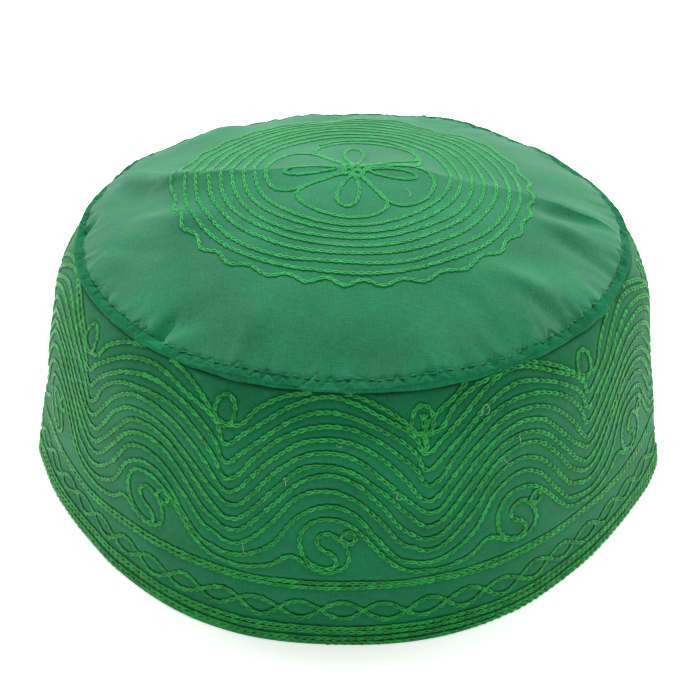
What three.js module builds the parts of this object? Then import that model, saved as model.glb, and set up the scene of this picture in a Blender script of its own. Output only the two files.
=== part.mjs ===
// A soft round cap with a low domed crown, standing on its hem.
// Millimetres, +Z up. X runs along the line on which the cap folds flat, and its front faces -Y.
import * as THREE from 'three';

// Band
const hemHalfLength = 96.4; // hem, from the middle to the crease at either end
const hemHalfDepth = 89.8; // hem, from the middle to the front or the back
const wallHeight = 78.5; // floor to the top of the band
const shoulderHeight = 16; // stretch below the seam where the wall rolls in
const shoulderInset = 5; // how far it rolls in there
const bandCloth = 1.6; // lined and quilted with rows of stitches

// Crown
const seamHalfLength = 81; // crown seam, from its middle to either end
const seamFrontDepth = 78.9; // crown seam, from its middle to the front
const seamBackDepth = 76.2; // crown seam, from its middle to the back
const crownShift = 1.7; // the crown sits this far towards +X
const crownCloth = 1.4; // lined
const crownEdge = 1.2; // turned-in edge that stands on the seam
const crownRise = 23.1; // from the edge to the middle of the crown
const foldCrease = 0.9; // height of the sharp crease along the fold
const foldReach = 16; // how far the crease and the ridge under it spread to each side
const backPull = 0.75; // how far the cloth behind the ridge is drawn straight from it to the seam
const seamGap = 0.3; // between the band and the crown
const edgeFade = 0.12; // share of the crown's radius in which ridge and folds flatten to its edge

// Outline of a section: depth falls from the middle to the ends as (1 - |x| ^ power) ^ sharpness.
const hemEnds = { power: 2.4, sharpness: 0.86 }; // pointed, where the band was folded flat
const seamEnds = { power: 2, sharpness: 0.5 }; // an ellipse
const domePower = 2.3;

// The ridge that the fold left on the crown, from -X to +X. Places are shares of the seam's half
// length and back depth, and lift is a share of the crown's rise.
const foldRidge = [
  { along: -1.0, back: 0.42, lift: 0.03 },
  { along: -0.88, back: 0.28, lift: 0.05 },
  { along: -0.74, back: 0.12, lift: 0.06 },
  { along: -0.62, back: 0.05, lift: 0.09 },
  { along: -0.53, back: 0.01, lift: 0.11 },
  { along: -0.38, back: 0.0, lift: 0.03 },
  { along: -0.18, back: 0.0, lift: 0.0 },
  { along: 0.0, back: 0.0, lift: 0.02 },
  { along: 0.2, back: 0.0, lift: 0.01 },
  { along: 0.36, back: 0.0, lift: 0.0 },
  { along: 0.7, back: 0.0, lift: 0.01 },
  { along: 0.79, back: 0.0, lift: 0.06 },
  { along: 0.95, back: 0.0, lift: 0.14 },
  { along: 1.0, back: 0.0, lift: 0.14 },
];

// Soft dents (height below 0) and swells of the crown. Places, runs and reaches are shares of the
// seam's half length, heights of the crown's rise, and turn is in degrees from +X.
const crownFolds = [
  { name: 'right of middle', along: 0.5, back: 0.02, run: 0.24, reach: 0.3, turn: 0, height: -0.07 },
  { name: 'left valley', along: -0.77, back: 0.02, run: 0.17, reach: 0.075, turn: 130, height: -0.085 },
  { name: 'left swell', along: -0.6, back: -0.22, run: 0.14, reach: 0.075, turn: -24, height: 0.05 },
  { name: 'front dent', along: -0.55, back: -0.71, run: 0.12, reach: 0.09, turn: 35, height: -0.07 },
  { name: 'front swell', along: -0.31, back: -0.78, run: 0.1, reach: 0.07, turn: 70, height: 0.03 },
  { name: 'right valley', along: 0.8, back: -0.035, run: 0.13, reach: 0.05, turn: 10, height: -0.075 },
  { name: 'right swell', along: 0.76, back: -0.155, run: 0.12, reach: 0.055, turn: 0, height: 0.05 },
  { name: 'right front swell', along: 0.61, back: -0.5, run: 0.12, reach: 0.06, turn: -6, height: 0.04 },
  { name: 'back dent', along: 0.3, back: 0.72, run: 0.14, reach: 0.08, turn: 75, height: -0.04 },
];

// Mesh density
const columns = 96;
const wallLevels = [0, 0.14, 0.3, 0.46, 0.62, 0.76, 0.86, 0.94, 1];
const crownLevels = [0.1, 0.2, 0.3, 0.4, 0.5, 0.59, 0.68, 0.77, 0.85, 0.92, 0.97, 1];

const mix = (a, b, t) => a + (b - a) * t;

/** Points of one level ring of a section, counter-clockwise seen from above. */
function ring(halfLength, frontDepth, backDepth, ends, shift, height) {
  return Array.from({ length: columns }, (_, column) => {
    const angle = (2 * Math.PI * column) / columns;
    const side = Math.cos(angle);
    const depth = Math.sin(angle) < 0 ? -frontDepth : backDepth;
    const fall = Math.max(0, 1 - Math.abs(side) ** ends.power) ** ends.sharpness;
    return new THREE.Vector3(shift + halfLength * side, depth * fall, height);
  });
}

/** One ring of the band's wall: share runs from 0 at the hem to 1 at the seam, inset goes inwards. */
function wallRing(share, inset) {
  const height = wallHeight * share;
  const rolled = Math.max(0, height - (wallHeight - shoulderHeight)) / shoulderHeight;
  const inwards = inset + shoulderInset * rolled ** 2;
  const ends = {
    power: mix(hemEnds.power, seamEnds.power, share),
    sharpness: mix(hemEnds.sharpness, seamEnds.sharpness, share),
  };
  return ring(
    mix(hemHalfLength, seamHalfLength + shoulderInset, share) - inwards,
    mix(hemHalfDepth, seamFrontDepth + shoulderInset, share) - inwards,
    mix(hemHalfDepth, seamBackDepth + shoulderInset, share) - inwards,
    ends,
    crownShift * share,
    height,
  );
}

/** Straight-line reading of a table: the value of one column at a given place along it. */
function readRow(table, column, along) {
  const next = table.findIndex((row) => row.along >= along);
  if (next <= 0) return table[next === 0 ? 0 : table.length - 1][column];
  const [a, b] = [table[next - 1], table[next]];
  return mix(a[column], b[column], (along - a.along) / (b.along - a.along));
}

/** Height of the crown's outer face above its edge, at shares of the seam's half length and depth. */
function crownHeight(along, back) {
  const radius = Math.min(1, Math.hypot(along, back));
  const dome = crownRise * (1 - radius ** domePower);
  const ridgeBack = readRow(foldRidge, 'back', along);
  const ridgeRadius = Math.min(1, Math.hypot(along, ridgeBack));
  const slopeDepth = Math.max(0.05, Math.sqrt(Math.max(0, 1 - along ** 2)) - ridgeBack);
  const behind = Math.max(0, back - ridgeBack) / slopeDepth;
  const straight = crownRise * (1 - ridgeRadius ** domePower) * (1 - Math.min(1, behind));
  const pull = behind > 0 ? backPull * (straight - dome) : 0;
  const offRidge = (Math.abs(back - ridgeBack) * seamBackDepth) / foldReach;
  const lift = foldCrease + crownRise * readRow(foldRidge, 'lift', along);
  const ridge = lift * Math.max(0, 1 - offRidge) ** 2;
  const folds = crownFolds.reduce((sum, fold) => {
    const turn = THREE.MathUtils.degToRad(fold.turn);
    const [x, y] = [along - fold.along, back - fold.back];
    const run = (x * Math.cos(turn) + y * Math.sin(turn)) / fold.run;
    const reach = (y * Math.cos(turn) - x * Math.sin(turn)) / fold.reach;
    return sum + fold.height * crownRise * Math.exp(-(run ** 2) - reach ** 2);
  }, 0);
  return dome + pull + (ridge + folds) * Math.min(1, (1 - radius) / edgeFade);
}

/** One ring of the crown: share runs from 0 at the middle to 1 at the seam, cloth goes inwards. */
function crownRing(share, cloth) {
  const edge = wallHeight + seamGap + crownEdge;
  const slope = (crownRise * domePower * share ** (domePower - 1)) / seamHalfLength;
  const drop = cloth * Math.hypot(1, slope);
  const points = ring(
    (seamHalfLength - cloth) * share,
    (seamFrontDepth - cloth) * share,
    (seamBackDepth - cloth) * share,
    seamEnds,
    crownShift,
    edge,
  );
  for (const point of points) {
    const along = (point.x - crownShift) / (seamHalfLength - cloth);
    const back = point.y / ((point.y < 0 ? seamFrontDepth : seamBackDepth) - cloth);
    point.z += crownHeight(along, back) - drop;
  }
  return points;
}

/**
 * A closed body through rings of points. The section runs so that its direction crossed with the
 * counter-clockwise ring points out of the body. A ring of one point is a pole.
 */
function loft(rings, closed) {
  const positions = [];
  const starts = rings.map((points) => {
    const start = positions.length / 3;
    points.forEach((point) => positions.push(point.x, point.y, point.z));
    return start;
  });
  const faces = [];
  const spans = closed ? rings.length : rings.length - 1;
  for (let i = 0; i < spans; i += 1) {
    const next = (i + 1) % rings.length;
    const pick = (row, column) => starts[row] + (column % rings[row].length);
    for (let column = 0; column < columns; column += 1) {
      const corners = [pick(i, column), pick(next, column), pick(next, column + 1), pick(i, column + 1)];
      if (rings[next].length > 1) faces.push(corners[0], corners[1], corners[2]);
      if (rings[i].length > 1) faces.push(corners[0], corners[rings[next].length > 1 ? 2 : 1], corners[3]);
    }
  }
  const geometry = new THREE.BufferGeometry();
  geometry.setAttribute('position', new THREE.Float32BufferAttribute(positions, 3));
  geometry.setIndex(faces);
  geometry.computeVertexNormals();
  return geometry;
}

/** The side wall: a hoop of cloth with a pointed hem outline and a rolled-in shoulder. */
function sideBand() {
  const outside = wallLevels.map((share) => wallRing(share, 0)).reverse();
  const inside = wallLevels.map((share) => wallRing(share, bandCloth));
  return loft([...outside, ...inside], true);
}

/** The domed top, with the ridge of the fold and its dents, on a turned-in edge. */
function crown() {
  const pole = (cloth) => {
    const height = wallHeight + seamGap + crownEdge + crownHeight(0, 0) - cloth;
    return [new THREE.Vector3(crownShift, 0, height)];
  };
  const seam = (cloth) => ring(
    seamHalfLength - cloth,
    seamFrontDepth - cloth,
    seamBackDepth - cloth,
    seamEnds,
    crownShift,
    wallHeight + seamGap,
  );
  const outside = crownLevels.map((share) => crownRing(share, 0));
  const inside = crownLevels.slice(0, -1).map((share) => crownRing(share, crownCloth)).reverse();
  return loft([pole(0), ...outside, seam(0), seam(crownCloth), ...inside, pole(crownCloth)], false);
}

/** One named piece of cloth. */
function piece(name, geometry, colour) {
  const material = new THREE.MeshStandardMaterial({ color: colour, roughness: 0.85, metalness: 0 });
  const mesh = new THREE.Mesh(geometry, material);
  mesh.name = name;
  return mesh;
}

const group = new THREE.Group();
group.add(piece('side_band', sideBand(), '#1f7048'));
group.add(piece('crown', crown(), '#2f8458'));

export default group;
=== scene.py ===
"""An embroidered round cap: a side band under rows of chain stitch and a soft domed crown.

Sizes are in millimetres until a mesh is made, and the frame and the meshes are in metres. The band is
drawn on its unrolled cloth: a share of the whole turn, counter-clockwise from +X with the front at
0.75, and a height above the hem. The crown is drawn on its plan, from its own middle.
"""

import logging
import math
from dataclasses import dataclass, field
from enum import Enum

import bpy
import numpy as np
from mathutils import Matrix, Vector


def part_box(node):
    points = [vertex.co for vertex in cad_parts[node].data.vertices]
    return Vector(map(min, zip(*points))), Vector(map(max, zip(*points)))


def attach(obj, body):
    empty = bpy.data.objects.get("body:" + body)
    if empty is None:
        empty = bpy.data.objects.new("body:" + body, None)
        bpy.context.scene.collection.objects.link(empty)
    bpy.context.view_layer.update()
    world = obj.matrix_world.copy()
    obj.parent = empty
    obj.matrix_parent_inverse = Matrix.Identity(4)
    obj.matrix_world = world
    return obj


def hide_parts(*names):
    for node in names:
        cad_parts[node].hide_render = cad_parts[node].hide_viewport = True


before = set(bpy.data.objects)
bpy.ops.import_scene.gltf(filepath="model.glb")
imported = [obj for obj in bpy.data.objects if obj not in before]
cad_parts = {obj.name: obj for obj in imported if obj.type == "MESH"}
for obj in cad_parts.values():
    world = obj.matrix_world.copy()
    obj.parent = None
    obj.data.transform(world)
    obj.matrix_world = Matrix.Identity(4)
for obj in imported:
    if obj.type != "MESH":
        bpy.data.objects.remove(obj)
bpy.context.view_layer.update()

log = logging.getLogger("cap")
MM = 0.001
FRONT = 0.75  # share of the turn at the middle of the front
STRAND_SIDES = 4  # points of a strand's section
Array = np.ndarray


class Slot(Enum):
    """The record's material slots."""

    BAND_CLOTH = "band_cloth"
    CROWN_CLOTH = "crown_cloth"
    THREAD = "thread"


# Meshes


@dataclass
class Faces:
    """Corners of a mesh's faces, and the place of each corner on the piece's own pattern."""

    quads: Array
    quad_uv: Array
    triangles: Array = field(default_factory=lambda: np.zeros((0, 3), int))
    triangle_uv: Array = field(default_factory=lambda: np.zeros((0, 3, 2)))

    def repeated(self, copies: int, stride: int, shifts: Array) -> "Faces":
        """The same faces for many copies of one shape.

        Args:
            copies: How many copies there are.
            stride: How many points one copy has.
            shifts: How far each copy's pattern is moved, one pair for each.

        Returns:
            The faces of all the copies.
        """
        start = np.arange(copies)[:, None, None] * stride
        move = shifts[:, None, None, :]
        return Faces(
            (self.quads + start).reshape(-1, 4),
            (self.quad_uv + move).reshape(-1, 4, 2),
            (self.triangles + start).reshape(-1, 3),
            (self.triangle_uv + move).reshape(-1, 3, 2),
        )


def grid_faces(rows: int, columns: int, wrap_rows: bool, row_uv: Array, column_uv: Array) -> Faces:
    """Quads of a grid whose columns close into a ring.

    Args:
        rows: Number of rows.
        columns: Number of columns.
        wrap_rows: Whether the last row joins the first one.
        row_uv: Pattern value of each row, with one more at the end where the rows wrap.
        column_uv: Pattern value of each column, with one more at the end for the seam.

    Returns:
        The quads, with the columns counter-clockwise and the rows rising, so that they face outwards.
    """
    r, c = np.meshgrid(np.arange(rows if wrap_rows else rows - 1), np.arange(columns), indexing="ij")
    r, c = r.ravel(), c.ravel()
    corner_rows = np.stack([r, r, r + 1, r + 1], 1)
    corner_columns = np.stack([c, c + 1, c + 1, c], 1)
    quads = (corner_rows % rows) * columns + corner_columns % columns
    uv = np.stack([column_uv[corner_columns], row_uv[corner_rows]], 2)
    return Faces(quads, uv)


def fan(pole: int, ring: Array, uv: Array, outwards: bool) -> tuple[Array, Array]:
    """Triangles from one point to a ring of points, facing up or down.

    Args:
        pole: Number of the point in the middle.
        ring: Numbers of the ring's points, counter-clockwise seen from above.
        uv: Pattern place of every point.
        outwards: True for faces that look up.

    Returns:
        The triangles and the pattern places of their corners.
    """
    after = np.roll(ring, -1)
    middle = np.full_like(ring, pole)
    triangles = np.stack([middle, ring, after] if outwards else [middle, after, ring], 1)
    return triangles, uv[triangles]


def make_piece(
    name: str, points: Array, faces: Faces, tint: Array | None = None
) -> bpy.types.Object:
    """Puts arrays into a smooth mesh object that rides on the cap.

    Args:
        name: Name of the piece.
        points: Its points, in millimetres.
        faces: Its faces.
        tint: A shade for each point, from 0 to 1.

    Returns:
        The object, at the origin.
    """
    mesh = bpy.data.meshes.new(name)
    quads, triangles = faces.quads, faces.triangles
    corners = np.concatenate([quads.ravel(), triangles.ravel()])
    starts = np.concatenate([np.arange(len(quads)) * 4, quads.size + np.arange(len(triangles)) * 3])
    mesh.vertices.add(len(points))
    mesh.vertices.foreach_set("co", (points * MM).astype(np.float32).ravel())
    mesh.loops.add(len(corners))
    mesh.loops.foreach_set("vertex_index", corners.astype(np.int32))
    mesh.polygons.add(len(starts))
    mesh.polygons.foreach_set("loop_start", starts.astype(np.int32))
    mesh.polygons.foreach_set("use_smooth", np.ones(len(starts), bool))
    uv = np.concatenate([faces.quad_uv.reshape(-1, 2), faces.triangle_uv.reshape(-1, 2)])
    layer = mesh.uv_layers.new(name="pattern")
    layer.data.foreach_set("uv", uv.astype(np.float32).ravel())
    if tint is not None:
        shade = mesh.attributes.new("tint", "FLOAT", "POINT")
        shade.data.foreach_set("value", tint.astype(np.float32))
    mesh.update(calc_edges=True)
    mesh.validate()
    piece = bpy.data.objects.new(name, mesh)
    bpy.context.scene.collection.objects.link(piece)
    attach(piece, "root")
    log.info("%s: %d points, %d triangles", name, len(points), 2 * len(quads) + len(triangles))
    return piece


def tube(
    centre: Array, closed: bool, thickness: Array, upright: tuple[float, float, float] = (0.0, 0.0, 1.0)
) -> tuple[Array, Faces]:
    """A strand of four sides around a line.

    At each point of the line the section is a small ring, square to the line. The ring is a little
    wider than the strand, so that it covers the area of a round one.

    Args:
        centre: Points of the line.
        closed: Whether the line closes. An open strand is closed by a cap at each end.
        thickness: Diameter at each point.
        upright: A direction that the line never takes.

    Returns:
        Points and faces.
    """
    ahead = np.roll(centre, -1, 0) if closed else np.concatenate([centre[1:], centre[-1:]])
    behind = np.roll(centre, 1, 0) if closed else np.concatenate([centre[:1], centre[:-1]])
    tangent = ahead - behind
    tangent /= np.linalg.norm(tangent, axis=1, keepdims=True)
    side = np.cross(tangent, upright)
    side /= np.linalg.norm(side, axis=1, keepdims=True)
    up = np.cross(side, tangent)
    sides = STRAND_SIDES
    angle = 2 * math.pi * (np.arange(sides) + 0.5) / sides
    ring = np.cos(angle)[None, :, None] * side[:, None] + np.sin(angle)[None, :, None] * up[:, None]
    swell = math.sqrt(2 * math.pi / (sides * math.sin(2 * math.pi / sides)))
    points = (centre[:, None] + ring * thickness[:, None, None] * swell / 2).reshape(-1, 3)
    run = np.concatenate([[0], np.cumsum(np.linalg.norm(np.diff(centre, axis=0), axis=1))])
    run = np.append(run, run[-1] + np.linalg.norm(centre[0] - centre[-1]))
    faces = grid_faces(len(centre), sides, closed, run, np.arange(sides + 1) / sides)
    if not closed:
        first = np.arange(sides)
        faces.quads = np.concatenate([faces.quads, [first[::-1], first + len(points) - sides]])
        faces.quad_uv = np.concatenate([faces.quad_uv, np.zeros((2, sides, 2))])
    return points, faces


# Curves and fields


def sample_grid(grid: Array, row: Array, column: Array) -> Array:
    """Reads a grid between its cells, with the columns closed into a ring.

    Args:
        grid: Values, rows first, with any number of channels.
        row: Row to read at, as a fraction.
        column: Column to read at, as a fraction.

    Returns:
        Values mixed from the four cells around each place.
    """
    row = np.clip(row, 0, grid.shape[0] - 1.001)
    r0, c0 = np.floor(row).astype(int), np.floor(column).astype(int)
    fr, fc = row - r0, column - c0
    if grid.ndim == 3:
        fr, fc = fr[..., None], fc[..., None]
    c0, c1 = c0 % grid.shape[1], (c0 + 1) % grid.shape[1]
    low = grid[r0, c0] * (1 - fc) + grid[r0, c1] * fc
    high = grid[r0 + 1, c0] * (1 - fc) + grid[r0 + 1, c1] * fc
    return low * (1 - fr) + high * fr


def blurred(grid: Array, sigma: float) -> Array:
    """A grid blurred by a round bell, with its opposite edges joined.

    A blur is a product of waves: each wave of the grid is weakened by a bell of its frequency.

    Args:
        grid: The values.
        sigma: Width of the bell, in cells.

    Returns:
        A grid of the same shape.
    """
    fy, fx = np.fft.fftfreq(grid.shape[0])[:, None], np.fft.rfftfreq(grid.shape[1])[None, :]
    bell = np.exp(-2 * (math.pi * sigma) ** 2 * (fx**2 + fy**2))
    return np.fft.irfft2(np.fft.rfft2(grid) * bell, s=grid.shape)


def unevenness(shape: tuple[int, int], sigma: float, seed: int) -> Array:
    """A grid of soft bumps of that width in cells, whose typical size is 1."""
    soft = blurred(np.random.default_rng(seed).normal(size=shape), sigma)
    return soft / soft.std()


def spline(points: Array, closed: bool, step: float) -> Array:
    """A smooth line through points, by centripetal Catmull-Rom.

    Each stretch between two points is blended from its four nearest points, whose knots are set apart
    by the square root of their distance, and the line is then cut into even steps.

    Args:
        points: Points of the line.
        closed: Whether the line closes.
        step: Length of a step.

    Returns:
        Points along the line. A closed line doesn't repeat its first one.
    """
    if closed:
        p = np.concatenate([points[-1:], points, points[:2]])
    else:
        p = np.concatenate([2 * points[:1] - points[1:2], points, 2 * points[-1:] - points[-2:-1]])
    apart = np.maximum(np.linalg.norm(np.diff(p, axis=0), axis=1), 1e-6)
    knots = np.concatenate([[0], np.cumsum(apart**0.5)])
    n, pieces = len(p) - 3, 24
    t = [knots[i : i + n][:, None] for i in range(4)]
    q = [p[i : i + n][:, None, :] for i in range(4)]
    u = t[1] + (t[2] - t[1]) * np.linspace(0, 1, pieces, endpoint=False)[None, :]

    def blend(a: Array, b: Array, ta: Array, tb: Array) -> Array:
        """Points mixed by how far each place is from one knot to the other."""
        share = ((u - ta) / (tb - ta))[..., None]
        return a * (1 - share) + b * share

    a1, a2, a3 = (blend(q[i], q[i + 1], t[i], t[i + 1]) for i in range(3))
    b1, b2 = blend(a1, a2, t[0], t[2]), blend(a2, a3, t[1], t[3])
    fine = blend(b1, b2, t[1], t[2]).reshape(-1, points.shape[1])
    fine = np.concatenate([fine, points[:1] if closed else points[-1:]])
    return even(fine, closed, step)


def even(line: Array, closed: bool, step: float) -> Array:
    """Cuts a line into even steps.

    Args:
        line: Points along the line, with the first one repeated at the end where it closes.
        closed: Whether it closes.
        step: Length of a step.

    Returns:
        Points at even distances. A closed line doesn't repeat its first one.
    """
    run = np.concatenate([[0], np.cumsum(np.linalg.norm(np.diff(line, axis=0), axis=1))])
    count = max(4, round(run[-1] / step))
    at = np.linspace(0, run[-1], count, endpoint=not closed)
    return np.stack([np.interp(at, run, line[:, k]) for k in range(line.shape[1])], 1)


def wander(count: int, length: float, amount: float, shortest: float, rng: np.random.Generator) -> Array:
    """A slow unsteady shift along a closed line: a sum of sines that all close on themselves.

    Args:
        count: Number of points along the line.
        length: Its length.
        amount: Typical size of the shift.
        shortest: The shortest wave in it.
        rng: Random numbers.

    Returns:
        One shift for each point.
    """
    sines = 7
    most = max(2, int(length / shortest))
    waves = rng.integers(1, most + 1, sines)
    phases = rng.uniform(0, 2 * math.pi, sines)
    turn = np.linspace(0, 2 * math.pi, count, endpoint=False)
    return amount * np.sin(turn[:, None] * waves + phases).sum(1) / math.sqrt(sines / 2)


# Surfaces of the cap


@dataclass(frozen=True)
class Ends:
    """How an outline closes at the fold: depth falls as (1 - |x| ^ power) ^ sharpness."""

    power: float
    sharpness: float


@dataclass
class Wall:
    """Outer face of the side band: level outlines from a pointed hem to a round seam."""

    hem_half_length: float
    hem_half_depth: float
    height: float
    seam_half_length: float
    seam_front: float
    seam_back: float
    shift: float
    shoulder_height: float = 16.0
    shoulder_inset: float = 5.0
    hem_ends: Ends = Ends(2.4, 0.86)
    seam_ends: Ends = Ends(2.0, 0.5)
    levels: int = 158
    places: int = 2400
    table: Array = field(init=False)
    lengths: Array = field(init=False)

    def __post_init__(self) -> None:
        """Works out a table of points at even heights and even shares of each outline's length."""
        angle = np.linspace(0, 2 * math.pi, 4 * self.places + 1)
        share = np.arange(self.places) / self.places
        rows, lengths = [], []
        for height in np.linspace(0, self.height, self.levels):
            outline = self.outline(angle, height)
            run = np.concatenate([[0], np.cumsum(np.linalg.norm(np.diff(outline, axis=0), axis=1))])
            rows.append(np.stack([np.interp(share * run[-1], run, outline[:, k]) for k in (0, 1)], 1))
            lengths.append(run[-1])
        self.table, self.lengths = np.array(rows), np.array(lengths)

    def outline(self, angle: Array, height: float) -> Array:
        """Points of one level outline: a flattened oval, blended between the hem's and the seam's.

        Args:
            angle: Angle of each point, whose cosine is its share of the half length.
            height: Height above the hem.

        Returns:
            x and y of each point.
        """
        u = height / self.height
        rolled = max(0.0, height - (self.height - self.shoulder_height)) / self.shoulder_height
        inwards = self.shoulder_inset * rolled**2

        def mix(hem: float, seam: float) -> float:
            """A value between the hem's and the seam's."""
            return hem + (seam - hem) * u

        half = mix(self.hem_half_length, self.seam_half_length + self.shoulder_inset) - inwards
        front = mix(self.hem_half_depth, self.seam_front + self.shoulder_inset) - inwards
        back = mix(self.hem_half_depth, self.seam_back + self.shoulder_inset) - inwards
        power = mix(self.hem_ends.power, self.seam_ends.power)
        sharpness = mix(self.hem_ends.sharpness, self.seam_ends.sharpness)
        side = np.cos(angle)
        fall = np.maximum(0, 1 - np.abs(side) ** power) ** sharpness
        depth = np.where(np.sin(angle) < 0, -front, back) * fall
        return np.stack([self.shift * u + half * side, depth], -1)

    def round_length(self, height: Array) -> Array:
        """Length of the outline at each height."""
        return np.interp(height, np.linspace(0, self.height, self.levels), self.lengths)

    def points(self, share: Array, height: Array) -> Array:
        """Points on the face at shares of the turn and heights."""
        flat = sample_grid(self.table, height / self.height * (self.levels - 1), share * self.places)
        return np.concatenate([flat, height[..., None]], -1)

    def normals(self, share: Array, height: Array) -> Array:
        """Unit vectors out of the face: the way round it crossed with the way up it.

        Args:
            share: Shares of the turn.
            height: Heights above the hem.

        Returns:
            A vector for each place, from the points a little to both sides, above and below.
        """
        up = 1.2
        side = up / self.lengths[0]
        low, high = np.clip(height - up, 0, self.height), np.clip(height + up, 0, self.height)
        across = self.points(share + side, height) - self.points(share - side, height)
        upwards = self.points(share, high) - self.points(share, low)
        normal = np.cross(across, upwards)
        return normal / np.linalg.norm(normal, axis=-1, keepdims=True)


@dataclass(frozen=True)
class Fold:
    """A soft dent or swell of the crown: places, runs and reaches are shares of the seam's half length."""

    along: float
    back: float
    run: float
    reach: float
    turn: float
    height: float


@dataclass(frozen=True)
class Ridge:
    """The ridge that the fold left on the crown, at one place from -X to +X."""

    along: float
    back: float
    lift: float


RIDGE = (
    Ridge(-1.0, 0.42, 0.03),
    Ridge(-0.88, 0.28, 0.05),
    Ridge(-0.74, 0.1, 0.06),
    Ridge(-0.62, 0.02, 0.09),
    Ridge(-0.53, -0.022, 0.11),
    Ridge(-0.38, -0.01, 0.03),
    Ridge(-0.18, -0.02, 0.0),
    Ridge(0.0, -0.025, 0.02),
    Ridge(0.2, 0.008, 0.01),
    Ridge(0.36, -0.008, 0.0),
    Ridge(0.7, 0.012, 0.01),
    Ridge(0.79, 0.0, 0.06),
    Ridge(0.95, 0.0, 0.14),
    Ridge(1.0, 0.0, 0.14),
)

FOLDS = (
    Fold(along=0.5, back=0.02, run=0.24, reach=0.3, turn=0, height=-0.07),
    Fold(along=-0.77, back=0.02, run=0.17, reach=0.075, turn=130, height=-0.085),
    Fold(along=-0.6, back=-0.22, run=0.14, reach=0.075, turn=-24, height=0.05),
    Fold(along=-0.55, back=-0.71, run=0.12, reach=0.09, turn=35, height=-0.045),
    Fold(along=-0.31, back=-0.78, run=0.1, reach=0.07, turn=70, height=0.03),
    Fold(along=0.8, back=-0.035, run=0.13, reach=0.05, turn=10, height=-0.075),
    Fold(along=0.76, back=-0.155, run=0.12, reach=0.055, turn=0, height=0.05),
    Fold(along=0.61, back=-0.5, run=0.12, reach=0.06, turn=-6, height=0.04),
    Fold(along=0.3, back=0.72, run=0.14, reach=0.08, turn=75, height=-0.04),
)


@dataclass
class Dome:
    """Outer face of the crown: a dome with the ridge of its fold and its soft dents."""

    half_length: float
    front: float
    back: float
    shift: float
    seam: float
    edge: float = 1.2
    rise: float = 23.1
    power: float = 2.3
    crease: float = 0.9
    crease_reach: float = 16.0
    edge_fade: float = 0.12
    back_pull: float = 0.57  # how far the cloth behind the ridge is drawn straight to the seam

    def depth(self, y: Array) -> Array:
        """Half depth of the seam on the side of each place."""
        return np.where(y < 0, self.front, self.back)

    def radius(self, x: Array, y: Array) -> Array:
        """Share of the way from the middle to the seam."""
        return np.hypot(x / self.half_length, y / self.depth(y))

    def heights(self, x: Array, y: Array) -> Array:
        """Height of the face: a dome that falls with a power of the radius, with its ridge and folds.

        Args:
            x: Places to the right of the crown's middle.
            y: Places behind it.

        Returns:
            Heights above the hem.
        """
        along, back = x / self.half_length, y / self.depth(y)
        radius = np.minimum(1, np.hypot(along, back))
        table = np.array([(r.along, r.back, r.lift) for r in RIDGE])
        ridge_back = np.interp(along, table[:, 0], table[:, 1])
        off = np.abs(back - ridge_back) * self.back / self.crease_reach
        lift = self.crease + self.rise * np.interp(along, table[:, 0], table[:, 2])
        relief = lift * np.maximum(0, 1 - off) ** 2
        for fold in FOLDS:
            turn = math.radians(fold.turn)
            u, v = along - fold.along, back - fold.back
            run = (u * math.cos(turn) + v * math.sin(turn)) / fold.run
            reach = (v * math.cos(turn) - u * math.sin(turn)) / fold.reach
            relief = relief + fold.height * self.rise * np.exp(-(run**2) - reach**2)
        dome = self.rise * (1 - radius**self.power)
        dome = dome + self.back_pull * self.pulled(along, back, ridge_back, dome)
        return self.seam + self.edge + dome + relief * np.minimum(1, (1 - radius) / self.edge_fade)

    def pulled(self, along: Array, back: Array, ridge_back: Array, dome: Array) -> Array:
        """How much lower a straight line from the ridge back to the seam lies than the dome.

        Args:
            along: Shares of the half length.
            back: Shares of the half depth.
            ridge_back: Where the ridge lies at those places.
            dome: Height of the dome there.

        Returns:
            The difference, which is 0 in front of the ridge.
        """
        ridge = self.rise * (1 - np.minimum(1, np.hypot(along, ridge_back)) ** self.power)
        reach = np.maximum(0.05, np.sqrt(np.maximum(0, 1 - along**2)) - ridge_back)
        behind = np.maximum(0, back - ridge_back) / reach
        return np.where(behind > 0, ridge * (1 - np.minimum(1, behind)) - dome, 0.0)

    def points(self, x: Array, y: Array) -> Array:
        """Points on the face at places of the plan."""
        return np.stack([x + self.shift, y, self.heights(x, y)], -1)

    def normals(self, x: Array, y: Array) -> Array:
        """Unit vectors out of the face, from the slope of its height.

        Args:
            x: Places to the right of the crown's middle.
            y: Places behind it.

        Returns:
            A vector for each place: minus both slopes, and one upwards, made one long.
        """
        d = 0.5
        slope_x = (self.heights(x + d, y) - self.heights(x - d, y)) / (2 * d)
        slope_y = (self.heights(x, y + d) - self.heights(x, y - d)) / (2 * d)
        normal = np.stack([-slope_x, -slope_y, np.ones_like(slope_x)], -1)
        return normal / np.linalg.norm(normal, axis=-1, keepdims=True)


# Lines of embroidery


@dataclass
class Route:
    """One line of stitches on a surface: even points of its plan, and whether it closes."""

    line: Array
    closed: bool


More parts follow.
